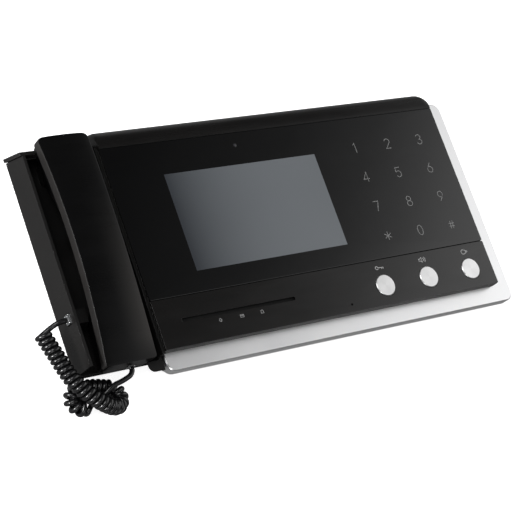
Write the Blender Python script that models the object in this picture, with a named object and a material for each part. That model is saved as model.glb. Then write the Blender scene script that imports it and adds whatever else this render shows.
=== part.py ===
"""Desk video intercom station: glass front panel, trim plate, cradle, corded handset.

Run with:  blender --background --python part.py
Units are metres.  The station lies on its back: +Z points out of the front panel, +X runs along
the panel away from the handset, +Y runs towards the top edge.  The origin is on the back face of
the rear cover, midway between the station's two ends.
"""
import math

import bmesh
import bpy
from mathutils import Vector

MM = 0.001
GAP = 0.3 * MM                     # clearance left between two pieces that touch

# ---- overall body ----
BODY_HALF_WIDTH = 219.65 * MM      # the cradle's side wall to the trim plate's far edge is twice this
FRONT_Z = 34.0 * MM                # front face of the glass
PANEL_LEFT = -151.35 * MM
PANEL_RIGHT = 199.95 * MM
PANEL_BOTTOM = -87.75 * MM
SEAM_TOP_Y = 87.35 * MM            # seam between the glass and the rolled top edge
SEAM_LOW_Y = -46.35 * MM           # seam between the glass and the button fascia
ROLL_RADIUS = 17.0 * MM
ROLL_START_Y = 89.75 * MM
ROLL_LEAN = 1.0 * MM               # how far the skirt below the roll leans outwards
SKIRT_BACK_Z = 0.8 * MM
ROLL_END_RADIUS = 5.5 * MM         # rounding of the roll's two ends
GLASS_THICKNESS = 1.9 * MM
WALL = 2.3 * MM
SKIN = 2.2 * MM

# ---- trim plate ----
PLATE_RIGHT = BODY_HALF_WIDTH
PLATE_LEFT = PANEL_LEFT + 2.0 * MM
PLATE_BOTTOM = -103.1 * MM
PLATE_TOP = 94.75 * MM
PLATE_FRONT_Z = 24.0 * MM
PLATE_BACK_Z = 14.5 * MM
PLATE_CORNER_RADIUS = 8.0 * MM
PLATE_SHEET = 1.8 * MM
PLATE_RIM = 2.5 * MM
PLATE_CHAMFER = 0.8 * MM
PLATE_WINDOW_INSET = 14.0 * MM     # from the housing's outline to the plate's inner opening

# ---- rear cover ----
COVER_RIM_Z = 14.2 * MM
COVER_LEFT = PANEL_LEFT + WALL + GAP
COVER_RIGHT = 212.0 * MM
COVER_BOTTOM = -99.5 * MM
COVER_CLIP = (14.0 * MM, 10.0 * MM)  # corner cut off below the cradle's foot
COVER_SHOULDER_Y = 92.0 * MM       # top of the cover where it stands beside the roll's end
COVER_TOP = 104.0 * MM
COVER_ROLL_RIGHT = PANEL_RIGHT - WALL - GAP
WING_RIM_Z = 3.6 * MM              # the low part of the cover that closes the cradle
WING_CHAMFER = 3.4 * MM
KEYHOLE_SPACING = 170.0 * MM
KEYHOLE_Y = 62.0 * MM
KEYHOLE_HEAD = 9.0 * MM
KEYHOLE_SLOT = 4.6 * MM
KEYHOLE_TRAVEL = 9.0 * MM
KEYHOLE_CENTRE_X = 30.0 * MM
VENT_COUNT = 7
VENT_PITCH = 9.0 * MM
VENT_SIZE = (3.0 * MM, 34.0 * MM)
VENT_CENTRE = (140.0 * MM, 10.0 * MM)

# ---- screen, keypad and buttons ----
SCREEN_CENTRE = (-23.3 * MM, 14.8 * MM)
LCD_SIZE = (165.0 * MM, 100.0 * MM, 2.0 * MM)
BACKLIGHT_DEPTH = 3.4 * MM
KEY_COLUMNS = (99.25 * MM, 136.05 * MM, 172.85 * MM)
KEY_ROWS = (58.3 * MM, 29.9 * MM, 1.55 * MM, -26.85 * MM)
KEYPAD_MARGIN = 14.0 * MM
KEYPAD_BOARD_THICKNESS = 1.2 * MM
CAMERA_POINT = (-23.3 * MM, 75.55 * MM)
CAMERA_HOLE = 3.0 * MM
BUTTON_X = (77.05 * MM, 125.85 * MM, 174.65 * MM)
BUTTON_Y = -70.25 * MM
BUTTON_DIAMETER = 19.4 * MM
BUTTON_PROUD = 0.7 * MM
BUTTON_TRAVEL = 0.8 * MM
BUTTON_COLLAR = 22.0 * MM
BUTTON_STEM = 6.0 * MM
STEM_END_Z = 27.0 * MM
SPEAKER_X = (-129.25 * MM, -17.55 * MM)
SPEAKER_Y = -66.15 * MM
SPEAKER_SLOT = 3.0 * MM
STATUS_X = (-94.25 * MM, -73.45 * MM, -53.45 * MM)
STATUS_Y = -72.2 * MM
STATUS_PIPE = 2.4 * MM
MIC_POINT = (35.85 * MM, -80.95 * MM)
MIC_HOLE = 1.8 * MM

# ---- cradle ----
CRADLE_RIGHT = PANEL_LEFT - GAP
CRADLE_WALL = 2.5 * MM
CRADLE_FLOOR_TOP = 12.0 * MM
CRADLE_FLOOR = 2.2 * MM
CRADLE_BOTTOM = -89.0 * MM
CRADLE_TOP_FRONT = 89.0 * MM       # the wall's top end at the front; it leans out towards the back
CRADLE_TOP_BACK = 96.6 * MM
CRADLE_BACK_Z = 3.9 * MM
CRADLE_INNER_WALL_Z = 32.0 * MM
CRADLE_FOOT_WIDTH = 14.2 * MM
CRADLE_FOOT_BOTTOM = -100.5 * MM
CRADLE_FOOT_TOP_Z = 23.9 * MM
CRADLE_FOOT_LOW_Z = 15.0 * MM
CRADLE_FOOT_CORNER = 5.5 * MM
LIP_THICKNESS = 3.2 * MM
LIP_OVERHANG = 1.8 * MM
LIP_FRONT_Y = 92.6 * MM
LIP_BACK_Y = 100.2 * MM
LIP_BACK_Z = 4.5 * MM
LIP_LOW_Z = 21.0 * MM              # height of the lip where the handset passes over it
LIP_STEP_X = -208.0 * MM

# ---- handset ----
HANDSET_X = -183.2 * MM
HANDSET_TOP_Y = 100.75 * MM
HANDSET_BOTTOM_Y = -91.25 * MM
HANDSET_CROWN_Z = 45.8 * MM
HANDSET_CROWN_Y = 25.0 * MM
HANDSET_ARC = 588.0 * MM           # radius of the long arch of the handset's back
HANDSET_WAIST = 21.0 * MM          # half width at the narrowest place
HANDSET_FLARE = 2.0 * MM           # how much wider each side is at the two ends
HANDSET_WAIST_Y = 5.0 * MM
HANDSET_SIDE = 9.5 * MM            # height of the outer shell's side
HANDSET_EDGE = 1.2 * MM
HANDSET_CAMBER = 0.9 * MM          # fall of the back from its middle line to its two edges
HANDSET_CAMBER_STEPS = 8
HANDSET_CORNERS = (2.6 * MM, 5.2 * MM)    # plan radius of the bottom and the top end
HANDSET_SKIN = 2.2 * MM
INNER_INSET = 1.4 * MM
GRIP_DEPTH = 3.2 * MM
EAR_BLOCK_Z = 24.0 * MM
EAR_BLOCK_Y = (46.0 * MM, 70.0 * MM)
MOUTH_BLOCK_Z = 14.0 * MM
MOUTH_BLOCK_Y = (-44.0 * MM, -64.0 * MM)
EAR_POINT_Y = 82.0 * MM
MOUTH_POINT_Y = -76.0 * MM

# ---- hook switch ----
HOOK_Y = 20.0 * MM
HOOK_TRAVEL = 3.0 * MM
HOOK_STEM = 6.0 * MM
HOOK_FLANGE = 10.0 * MM
HOOK_BORE = 6.8 * MM
HOOK_ROOF = 1.6 * MM                # the boss above the plunger's flange
HOOK_TOP_Z = HANDSET_CROWN_Z - HANDSET_SIDE - GRIP_DEPTH - 2 * GAP
HOOK_BOSS_Z = HOOK_TOP_Z - 5.0 * MM
HOOK_FLANGE_Z = HOOK_BOSS_Z - HOOK_ROOF - HOOK_TRAVEL - GAP
HOOK_BOARD_Z = 6.4 * MM
HOOK_SWITCH_TOP = 13.0 * MM

# ---- line cord ----
LINE_Y = -46.0 * MM
LINE_Z = 24.0 * MM
JACK_SIZE = (11.0 * MM, 11.4 * MM, 9.6 * MM)
PLUG_SIZE = (11.0 * MM, 7.6 * MM, 6.0 * MM)
PLUG_PROUD = 1.8 * MM
CORD_COIL = 14.0 * MM
CORD_WIRE = 4.4 * MM
CORD_COURSE = ((-243.0 * MM, -52.9 * MM, 20.0 * MM), (-237.9 * MM, -69.3 * MM, 20.0 * MM),
               (-231.7 * MM, -88.7 * MM, 20.0 * MM), (-225.0 * MM, -100.1 * MM, 20.0 * MM),
               (-217.1 * MM, -108.8 * MM, 19.3 * MM), (-208.0 * MM, -114.8 * MM, 16.3 * MM),
               (-198.2 * MM, -117.6 * MM, 11.0 * MM), (-190.6 * MM, -115.6 * MM, 7.0 * MM),
               (-187.9 * MM, -108.8 * MM, 5.4 * MM), (-191.6 * MM, -102.4 * MM, 5.1 * MM),
               (-199.0 * MM, -99.8 * MM, 5.1 * MM), (-208.5 * MM, -97.8 * MM, 5.1 * MM),
               (-219.0 * MM, -96.9 * MM, 5.1 * MM), (-226.1 * MM, -99.4 * MM, 5.1 * MM),
               (-228.6 * MM, -105.9 * MM, 5.1 * MM), (-225.2 * MM, -112.0 * MM, 5.1 * MM),
               (-219.4 * MM, -114.4 * MM, 5.1 * MM))
CORD_LEAD = ((-221.8 * MM, LINE_Y, LINE_Z), (-230.0 * MM, -46.2 * MM, 23.8 * MM),
             (-238.5 * MM, -48.5 * MM, 22.5 * MM), (-241.5 * MM, -57.0 * MM, 20.5 * MM))
HANDSET_CORD_X = -177.5 * MM
HANDSET_CORD_Z = 18.4 * MM
CORD_TAIL = ((-223.5 * MM, -113.0 * MM, 5.1 * MM), (-214.5 * MM, -115.3 * MM, 5.3 * MM),
             (-207.5 * MM, -110.5 * MM, 7.0 * MM), (-202.5 * MM, -106.1 * MM, 13.0 * MM),
             (-196.1 * MM, -102.4 * MM, 15.5 * MM), (-186.5 * MM, -100.0 * MM, 17.2 * MM),
             (-180.2 * MM, -97.6 * MM, 18.2 * MM), (HANDSET_CORD_X, -94.2 * MM, HANDSET_CORD_Z),
             (HANDSET_CORD_X, -91.9 * MM, HANDSET_CORD_Z))

# ---- feet and screws ----
FOOT_RADIUS = 7.0 * MM
FOOT_HEIGHT = 2.0 * MM
FOOT_RECESS = 0.6 * MM
FOOT_PLACES = ((-137.5 * MM, -84.0 * MM), (198.0 * MM, -86.0 * MM),
               (-140.0 * MM, 82.0 * MM), (198.0 * MM, 82.0 * MM))
SCREW_PLACES = ((-120.0 * MM, -88.0 * MM), (178.0 * MM, -88.0 * MM),
                (-120.0 * MM, 90.0 * MM), (178.0 * MM, 90.0 * MM))
SCREW_HEAD = 5.6 * MM
SCREW_SHANK = 3.0 * MM
SCREW_LENGTH = 9.0 * MM
SCREW_RECESS = 1.9 * MM
SCREW_HEAD_HEIGHT = 1.3 * MM
SCREW_BOSS = 9.2 * MM
SCREW_BOSS_TOP = 6.0 * MM

# ---- inside the panel ----
CONNECTOR_TOP = 13.4 * MM
CONNECTORS = (("ethernet_jack", -62.0 * MM, (15.8 * MM, 18.0 * MM), 3.0 * MM),
              ("usb_port", -30.0 * MM, (13.2 * MM, 14.0 * MM), 7.2 * MM),
              ("terminal_block", 8.0 * MM, (40.0 * MM, 12.0 * MM), 4.0 * MM),
              ("power_jack", 50.0 * MM, (9.0 * MM, 13.0 * MM), 3.4 * MM))
CONNECTOR_FACE_Y = COVER_BOTTOM + 0.6 * MM
BOARD_THICKNESS = 1.6 * MM
MAIN_BOARD_SIZE = (190.0 * MM, 128.0 * MM)
MAIN_BOARD_CENTRE = (-17.0 * MM, -32.0 * MM)
MAIN_BOARD_Z = CONNECTOR_TOP + GAP
HEATSINK_SIZE = (28.0 * MM, 28.0 * MM)
HEATSINK_CENTRE = (10.0 * MM, 12.0 * MM)
HEATSINK_HEIGHT = 7.0 * MM
HEATSINK_FINS = 5
BUTTON_BOARD_SIZE = (122.0 * MM, 16.0 * MM)
BUTTON_BOARD_Z = 20.2 * MM
TACT_SIZE = 6.0 * MM
TACT_HEIGHT = 3.4 * MM
TACT_TIP = 3.2 * MM
LOUDSPEAKER_SIZE = (70.0 * MM, 22.0 * MM)
LOUDSPEAKER_Z = (17.0 * MM, 26.5 * MM)
STATUS_BOARD_Z = 27.2 * MM

SEGMENTS = 32
ARC_STEPS = 8


# ------------------------------------------------------------------ tools
def clear_scene():
    for item in list(bpy.data.objects):
        bpy.data.objects.remove(item, do_unlink=True)


def material(name, color, roughness, metallic=0.0):
    found = bpy.data.materials.get(name)
    if found:
        return found
    made = bpy.data.materials.new(name)
    made.use_nodes = True
    shader = made.node_tree.nodes["Principled BSDF"]
    shader.inputs["Base Color"].default_value = (*color, 1.0)
    shader.inputs["Roughness"].default_value = roughness
    shader.inputs["Metallic"].default_value = metallic
    return made


def add_object(name, mesh_data, finish, location=(0.0, 0.0, 0.0), smooth=False):
    mesh = bpy.data.meshes.new(name)
    bmesh.ops.recalc_face_normals(mesh_data, faces=mesh_data.faces)
    mesh_data.to_mesh(mesh)
    mesh_data.free()
    if smooth:
        mesh.shade_smooth()
        mesh.set_sharp_from_angle(angle=math.radians(35))
    made = bpy.data.objects.new(name, mesh)
    made.location = location
    bpy.context.scene.collection.objects.link(made)
    if finish:
        mesh.materials.append(finish)
    return made


def rounded_outline(x0, x1, y0, y1, radius, steps=ARC_STEPS):
    """Corner points of a rectangle with rounded corners, counter-clockwise."""
    corners = ((x1 - radius, y1 - radius, 0), (x0 + radius, y1 - radius, 90),
               (x0 + radius, y0 + radius, 180), (x1 - radius, y0 + radius, 270))
    points = []
    for cx, cy, start in corners:
        for step in range(steps + 1):
            angle = math.radians(start + 90.0 * step / steps)
            points.append((cx + radius * math.cos(angle), cy + radius * math.sin(angle)))
    return points


def loft(name, loops, finish, location=(0.0, 0.0, 0.0), smooth=False):
    """Closed solid through loops that have the same number of points."""
    work = bmesh.new()
    rings = [[work.verts.new(point) for point in loop] for loop in loops]
    count = len(rings[0])
    for low, high in zip(rings, rings[1:]):
        for index in range(count):
            after = (index + 1) % count
            work.faces.new((low[index], low[after], high[after], high[index]))
    work.faces.new(rings[0][::-1])
    work.faces.new(rings[-1])
    return add_object(name, work, finish, location, smooth)


def prism(name, outline, z0, z1, finish, smooth=False):
    loops = [[(x, y, z) for x, y in outline] for z in (z0, z1)]
    return loft(name, loops, finish, smooth=smooth)


def chamfered_prism(name, outline_at, z0, z1, chamfer, finish, smooth=False):
    """Prism whose front edge is chamfered; outline_at(inset) gives the outline."""
    levels = ((0.0, z0), (0.0, z1 - chamfer), (chamfer, z1))
    loops = [[(x, y, z) for x, y in outline_at(inset)] for inset, z in levels]
    return loft(name, loops, finish, smooth=smooth)


def block(name, centre, size, finish):
    """Box; centre is (x, y, lower z, upper z) and size is its width in X and Y."""
    x, y, z0, z1 = centre
    outline = ((x - size[0] / 2, y - size[1] / 2), (x + size[0] / 2, y - size[1] / 2),
               (x + size[0] / 2, y + size[1] / 2), (x - size[0] / 2, y + size[1] / 2))
    return prism(name, outline, z0, z1, finish)


def rounded_block(name, centre, size, radius, finish):
    x, y, z0, z1 = centre
    outline = rounded_outline(x - size[0] / 2, x + size[0] / 2, y - size[1] / 2, y + size[1] / 2,
                              radius, 4)
    return prism(name, outline, z0, z1, finish)


def turned(name, profile, finish, location=(0.0, 0.0, 0.0), segments=SEGMENTS):
    """Solid of revolution about Z; profile holds (radius, z) and runs from low to high."""
    work = bmesh.new()
    rings = []
    for radius, z in profile:
        angles = [math.tau * step / segments for step in range(segments)]
        rings.append([work.verts.new((radius * math.cos(a), radius * math.sin(a), z))
                      for a in angles])
    for low, high in zip(rings, rings[1:]):
        for index in range(segments):
            after = (index + 1) % segments
            work.faces.new((low[index], low[after], high[after], high[index]))
    work.faces.new(rings[0][::-1])
    work.faces.new(rings[-1])
    return add_object(name, work, finish, location, smooth=True)


def disc(name, place, radius, z0, z1, finish, segments=SEGMENTS):
    profile = ((radius, z0), (radius, z1))
    return turned(name, profile, finish, (place[0], place[1], 0.0), segments)


def boolean(target, tool, operation):
    tool.hide_render = True
    tool.display_type = 'WIRE'
    step = target.modifiers.new(tool.name, 'BOOLEAN')
    step.operation = operation
    step.object = tool
    step.solver = 'EXACT'


def cut(target, tool):
    boolean(target, tool, 'DIFFERENCE')


def fuse(target, tool):
    boolean(target, tool, 'UNION')


def sweep(name, path, radius, sides, finish):
    """Round bar along a path that doesn't turn back on itself."""
    points = [Vector(point) for point in path]
    loops = []
    side = None
    for index, point in enumerate(points):
        before = points[max(index - 1, 0)]
        after = points[min(index + 1, len(points) - 1)]
        ahead = (after - before).normalized()
        if side is None:
            side = ahead.orthogonal().normalized()
        side = (side - ahead * side.dot(ahead)).normalized()
        up = ahead.cross(side)
        loops.append([point + (side * math.cos(math.tau * k / sides)
                               + up * math.sin(math.tau * k / sides)) * radius
                      for k in range(sides)])
    return loft(name, loops, finish, smooth=True)


# ------------------------------------------------------------------ finishes
def black_plastic():
    return material("black_plastic", (0.012, 0.012, 0.013), 0.35)


def gloss_black():
    return material("gloss_black", (0.008, 0.008, 0.009), 0.12)


def satin_aluminium():
    return material("satin_aluminium", (0.72, 0.73, 0.74), 0.3, 1.0)


def steel():
    return material("steel", (0.55, 0.56, 0.57), 0.3, 1.0)


def circuit_board():
    return material("circuit_board", (0.02, 0.12, 0.05), 0.5)


def dark_component():
    return material("dark_component", (0.02, 0.02, 0.022), 0.5)


def clear_plastic():
    return material("clear_plastic", (0.75, 0.77, 0.78), 0.1)


def rubber():
    return material("rubber", (0.02, 0.02, 0.02), 0.85)


# ------------------------------------------------------------------ front panel
def roll_profile(inset, squeeze):
    """Points of the rolled edge in (y, z), from the seam round to the back of the skirt.

    inset moves the surface inwards; squeeze shortens the roll where its ends are rounded.
    """
    points = []
    for step in range(ARC_STEPS + 1):
        angle = math.radians(90.0 - 90.0 * step / ARC_STEPS)
        reach = (ROLL_RADIUS - inset) * math.cos(angle)
        rise = (ROLL_RADIUS - inset) * math.sin(angle)
        points.append((ROLL_START_Y + reach * squeeze, FRONT_Z - ROLL_RADIUS + rise))
    foot = (ROLL_RADIUS - inset) * squeeze + ROLL_LEAN
    points.append((ROLL_START_Y + foot, SKIRT_BACK_Z))
    return points


def housing_loops():
    """Cross-sections of the outside of the housing from its left end to its right end."""
    steps = 4
    stations = []
    for step in range(steps + 1):
        angle = math.radians(90.0 * step / steps)
        along = ROLL_END_RADIUS * (1.0 - math.cos(angle))
        shrink = ROLL_END_RADIUS * (1.0 - math.sin(angle))
        stations.append((PANEL_LEFT + along, 1.0 - shrink / ROLL_RADIUS))
    mirrored = [(PANEL_LEFT + PANEL_RIGHT - x, squeeze) for x, squeeze in reversed(stations)]
    glass_floor = FRONT_Z - GLASS_THICKNESS - GAP
    loops = []
    for x, squeeze in stations + mirrored:
        section = [(PLATE_TOP + GAP, PLATE_FRONT_Z + GAP), (PANEL_BOTTOM, PLATE_FRONT_Z + GAP),
                   (PANEL_BOTTOM, glass_floor), (SEAM_TOP_Y, glass_floor), (SEAM_TOP_Y, FRONT_Z)]
        section += roll_profile(0.0, squeeze)
        section.append((PLATE_TOP + GAP, SKIRT_BACK_Z))
        loops.append([(x, y, z) for y, z in section])
    return loops


def housing_cavity():
    under_skin = FRONT_Z - GLASS_THICKNESS - GAP - SKIN
    below = -5.0 * MM
    squeeze = 1.0 - 0.5 * ROLL_END_RADIUS / ROLL_RADIUS
    loops = []
    for x, pull in ((PANEL_LEFT + WALL, squeeze), (PANEL_LEFT + ROLL_END_RADIUS, 1.0),
                    (PANEL_RIGHT - ROLL_END_RADIUS, 1.0), (PANEL_RIGHT - WALL, squeeze)):
        section = [(PANEL_BOTTOM + WALL, below), (PANEL_BOTTOM + WALL, under_skin),
                   (SEAM_TOP_Y, under_skin)]
        section += roll_profile(WALL, pull)[1:-1]
        section.append((section[-1][0] + ROLL_LEAN, below))
        loops.append([(x, y, z) for y, z in section])
    return loft("housing_cavity", loops, None)


def keypad_area(grow):
    return (KEY_COLUMNS[0] - KEYPAD_MARGIN - grow, KEY_COLUMNS[-1] + KEYPAD_MARGIN + grow,
            KEY_ROWS[-1] - KEYPAD_MARGIN + 2 * MM - grow, KEY_ROWS[0] + KEYPAD_MARGIN + grow)


def make_front_housing():
    housing = loft("front_housing", housing_loops(), black_plastic(), smooth=True)
    cut(housing, housing_cavity())
    clear = 0.8 * MM
    low, high = 10 * MM, FRONT_Z + 5 * MM
    screen = rounded_block("housing_screen_opening", (*SCREEN_CENTRE, low, high),
                           (LCD_SIZE[0] + 2 * clear, LCD_SIZE[1] + 2 * clear), 1.0 * MM, None)
    cut(housing, screen)
    keypad = prism("housing_keypad_opening", rounded_outline(*keypad_area(clear), 1.0 * MM, 2),
                   low, high, None)
    cut(housing, keypad)
    for number, x in enumerate(BUTTON_X, 1):
        bore = disc("housing_button_bore_%d" % number, (x, BUTTON_Y), BUTTON_COLLAR / 2 + clear,
                    low, high, None)
        cut(housing, bore)
    middle = (SPEAKER_X[0] + SPEAKER_X[1]) / 2
    length = SPEAKER_X[1] - SPEAKER_X[0]
    grille = rounded_block("housing_speaker_opening", (middle, -70 * MM, low, high),
                           (length + 4 * MM, 16 * MM), 2.0 * MM, None)
    cut(housing, grille)
    for name, place, radius in (("housing_mic_bore", MIC_POINT, 3.6 * MM),
                                ("housing_camera_bore", CAMERA_POINT, 4.4 * MM)):
        cut(housing, disc(name, place, radius, low, high, None, 16))


def make_touch_glass():
    outline = rounded_outline(PANEL_LEFT, PANEL_RIGHT, SEAM_LOW_Y + GAP, SEAM_TOP_Y - GAP,
                              0.8 * MM, 2)
    glass = prism("touch_glass", outline, FRONT_Z - GLASS_THICKNESS, FRONT_Z, gloss_black())
    cut(glass, disc("glass_camera_hole", CAMERA_POINT, CAMERA_HOLE / 2 + GAP, 0.0, 2 * FRONT_Z,
                    None, 16))
    disc("camera_window", CAMERA_POINT, CAMERA_HOLE / 2, FRONT_Z - 1.4 * MM, FRONT_Z - 0.2 * MM,
         clear_plastic(), 16)


def make_button_fascia():
    outline = rounded_outline(PANEL_LEFT, PANEL_RIGHT, PANEL_BOTTOM, SEAM_LOW_Y - GAP, 0.8 * MM, 2)
    fascia = prism("button_fascia", outline, FRONT_Z - GLASS_THICKNESS, FRONT_Z, black_plastic())
    low, high = 0.0, 2 * FRONT_Z
    for number, x in enumerate(BUTTON_X, 1):
        cut(fascia, disc("fascia_button_hole_%d" % number, (x, BUTTON_Y),
                         BUTTON_DIAMETER / 2 + GAP, low, high, None))
    slot = prism("fascia_speaker_slot",
                 rounded_outline(*SPEAKER_X, SPEAKER_Y - SPEAKER_SLOT / 2,
                                 SPEAKER_Y + SPEAKER_SLOT / 2, SPEAKER_SLOT / 2 - 0.01 * MM, 4),
                 low, high, None)
    cut(fascia, slot)
    for number, x in enumerate(STATUS_X, 1):
        hole = STATUS_PIPE + 2 * GAP
        cut(fascia, block("fascia_status_hole_%d" % number, (x, STATUS_Y, low, high),
                          (hole, hole), None))
    cut(fascia, disc("fascia_mic_hole", MIC_POINT, MIC_HOLE / 2, low, high, None, 12))


def make_trim_plate():
    def outer(inset):
        return rounded_outline(PLATE_LEFT + inset, PLATE_RIGHT - inset, PLATE_BOTTOM + inset,
                               PLATE_TOP - inset, PLATE_CORNER_RADIUS - inset)

    plate = chamfered_prism("trim_plate", outer, PLATE_BACK_Z, PLATE_FRONT_Z, PLATE_CHAMFER,
                            satin_aluminium(), smooth=True)
    pan = prism("plate_pan", outer(PLATE_RIM), 0.0, PLATE_FRONT_Z - PLATE_SHEET, None)
    cut(plate, pan)
    window = prism("plate_window",
                   rounded_outline(PANEL_LEFT + PLATE_WINDOW_INSET,
                                   PANEL_RIGHT - PLATE_WINDOW_INSET,
                                   PANEL_BOTTOM + PLATE_WINDOW_INSET / 2,
                                   SEAM_TOP_Y - PLATE_WINDOW_INSET / 2, 4 * MM, 3),
                   0.0, 2 * FRONT_Z, None)
    cut(plate, window)


# ------------------------------------------------------------------ rear cover
def keyhole(name, x, y):
    head = disc(name, (x, y), KEYHOLE_HEAD / 2, -5 * MM, 8 * MM, None, 24)
    slot = rounded_block(name + "_slot", (x, y + KEYHOLE_TRAVEL / 2, -6 * MM, 9 * MM),
                         (KEYHOLE_SLOT, KEYHOLE_TRAVEL + KEYHOLE_SLOT), KEYHOLE_SLOT / 2.1, None)
    return head, slot


def cover_outline(inset):
    """Outline of the tall part of the cover, stepped beside the end of the roll."""
    left, right = COVER_LEFT + inset, COVER_RIGHT - inset
    bottom, top = COVER_BOTTOM + inset, COVER_TOP - inset
    shoulder, roll_right = COVER_SHOULDER_Y - inset, COVER_ROLL_RIGHT - inset
    clip = ROLL_END_RADIUS
    return [(left, bottom + COVER_CLIP[1]), (left + COVER_CLIP[0], bottom), (right, bottom),
            (right, shoulder), (roll_right, shoulder),
            (roll_right, top - clip), (roll_right - clip, top), (left + clip, top),
            (left, top - clip)]


def make_rear_cover():
    below, above = -5.0 * MM, 8.0 * MM
    cover = prism("rear_cover", cover_outline(0.0), 0.0, COVER_RIM_Z, black_plastic())
    cut(cover, prism("cover_pocket", cover_outline(WALL), SKIN, 2 * FRONT_Z, None))
    wing_loops = []
    for inset, z in ((WING_CHAMFER, 0.0), (0.0, WING_RIM_Z)):
        x0, x1 = -BODY_HALF_WIDTH + inset, COVER_LEFT + WALL / 2
        y0, y1 = CRADLE_BOTTOM + inset, PLATE_TOP - inset
        wing_loops.append([(x0, y0, z), (x1, y0, z), (x1, y1, z), (x0, y1, z)])
    wing = loft("cover_wing", wing_loops, None)
    fuse(cover, wing)
    lip = WING_CHAMFER + 1.6 * MM
    well_x = (-BODY_HALF_WIDTH + lip, COVER_LEFT - GAP)
    well = prism("cover_wing_pocket",
                 rounded_outline(*well_x, CRADLE_BOTTOM + lip, PLATE_TOP - lip, 1 * MM, 2),
                 SKIN, 2 * FRONT_Z, None)
    cut(cover, well)
    for side in (-1, 1):
        head, slot = keyhole("cover_keyhole_%s" % ("left" if side < 0 else "right"),
                             KEYHOLE_CENTRE_X + side * KEYHOLE_SPACING / 2, KEYHOLE_Y)
        cut(cover, head)
        cut(cover, slot)
    for number in range(VENT_COUNT):
        x = VENT_CENTRE[0] + (number - (VENT_COUNT - 1) / 2) * VENT_PITCH
        cut(cover, rounded_block("cover_vent_%d" % (number + 1),
                                 (x, VENT_CENTRE[1], below, above), VENT_SIZE, 1.4 * MM, None))
    for name, x, size, z0 in CONNECTORS:
        clear = 0.4 * MM
        opening = block("cover_opening_" + name, (x, COVER_BOTTOM, z0 - clear, CONNECTOR_TOP + clear),
                        (size[0] + 2 * clear, 4 * WALL), None)
        cut(cover, opening)
    for number, place in enumerate(SCREW_PLACES, 1):
        fuse(cover, disc("cover_screw_boss_%d" % number, place, SCREW_BOSS / 2, SKIN / 2,
                         SCREW_BOSS_TOP, None, 24))
        cut(cover, disc("cover_screw_recess_%d" % number, place, SCREW_HEAD / 2 + GAP, below,
                        SCREW_RECESS, None, 24))
        cut(cover, disc("cover_screw_hole_%d" % number, place, SCREW_SHANK / 2 + GAP, below,
                        above, None, 16))
    for number, place in enumerate(FOOT_PLACES, 1):
        cut(cover, disc("cover_foot_recess_%d" % number, place, FOOT_RADIUS + GAP, below,
                        FOOT_RECESS, None, 24))


def make_feet_and_screws():
    for number, (x, y) in enumerate(FOOT_PLACES, 1):
        edge = 0.5 * MM
        turned("rubber_foot_%d" % number,
               ((FOOT_RADIUS - edge, -FOOT_HEIGHT), (FOOT_RADIUS, -FOOT_HEIGHT + edge),
                (FOOT_RADIUS, FOOT_RECESS - GAP / 3)), rubber(), (x, y, 0.0), 24)
    for number, (x, y) in enumerate(SCREW_PLACES, 1):
        head, shank = SCREW_HEAD / 2, SCREW_SHANK / 2
        seat = SCREW_RECESS - GAP / 3
        turned("cover_screw_%d" % number,
               ((head, seat - SCREW_HEAD_HEIGHT), (head, seat), (shank, seat),
                (shank, SCREW_LENGTH)), steel(), (x, y, 0.0), 16)


# ------------------------------------------------------------------ inside the panel


def make_display():
    glass_back = FRONT_Z - GLASS_THICKNESS - GAP
    cell_back = glass_back - LCD_SIZE[2]
    rounded_block("lcd_cell", (*SCREEN_CENTRE, cell_back, glass_back), LCD_SIZE[:2], 0.8 * MM,
                  material("lcd_grey", (0.09, 0.1, 0.11), 0.2))
    tray_front = cell_back - GAP
    tray = rounded_block("lcd_backlight_tray",
                         (*SCREEN_CENTRE, tray_front - BACKLIGHT_DEPTH, tray_front),
                         (LCD_SIZE[0] - GAP, LCD_SIZE[1] - GAP), 0.8 * MM, steel())
    rib_count = 3
    for number in range(rib_count):
        x = SCREEN_CENTRE[0] + (number - 1) * LCD_SIZE[0] / rib_count
        groove = block("backlight_groove_%d" % number,
                       (x, SCREEN_CENTRE[1], 0.0, tray_front - BACKLIGHT_DEPTH + 0.6 * MM),
                       (6 * MM, LCD_SIZE[1] * 0.8), None)
        cut(tray, groove)


def make_keypad_board():
    back = FRONT_Z - GLASS_THICKNESS - GAP
    prism("touch_keypad_board", rounded_outline(*keypad_area(0.0), 1.0 * MM, 2),
          back - KEYPAD_BOARD_THICKNESS, back, circuit_board())


def make_main_board():
    board = rounded_block("main_board",
                          (*MAIN_BOARD_CENTRE, MAIN_BOARD_Z, MAIN_BOARD_Z + BOARD_THICKNESS),
                          MAIN_BOARD_SIZE, 2 * MM, circuit_board())
    for number, (sx, sy) in enumerate(((-1, -1), (1, -1), (1, 1), (-1, 1)), 1):
        place = (MAIN_BOARD_CENTRE[0] + sx * (MAIN_BOARD_SIZE[0] / 2 - 5 * MM),
                 MAIN_BOARD_CENTRE[1] + sy * (MAIN_BOARD_SIZE[1] / 2 - 5 * MM))
        cut(board, disc("board_hole_%d" % number, place, 1.6 * MM, 0.0, FRONT_Z, None, 12))
    base = MAIN_BOARD_Z + BOARD_THICKNESS + GAP
    sink = block("processor_heatsink", (*HEATSINK_CENTRE, base, base + HEATSINK_HEIGHT),
                 HEATSINK_SIZE, satin_aluminium())
    pitch = HEATSINK_SIZE[0] / (HEATSINK_FINS + 1)
    for number in range(HEATSINK_FINS):
        x = HEATSINK_CENTRE[0] + (number - (HEATSINK_FINS - 1) / 2) * pitch
        cut(sink, block("heatsink_groove_%d" % number,
                        (x, HEATSINK_CENTRE[1], base + 1.5 * MM, base + 2 * HEATSINK_HEIGHT),
                        (pitch * 0.5, 2 * HEATSINK_SIZE[1]), None))


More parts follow.
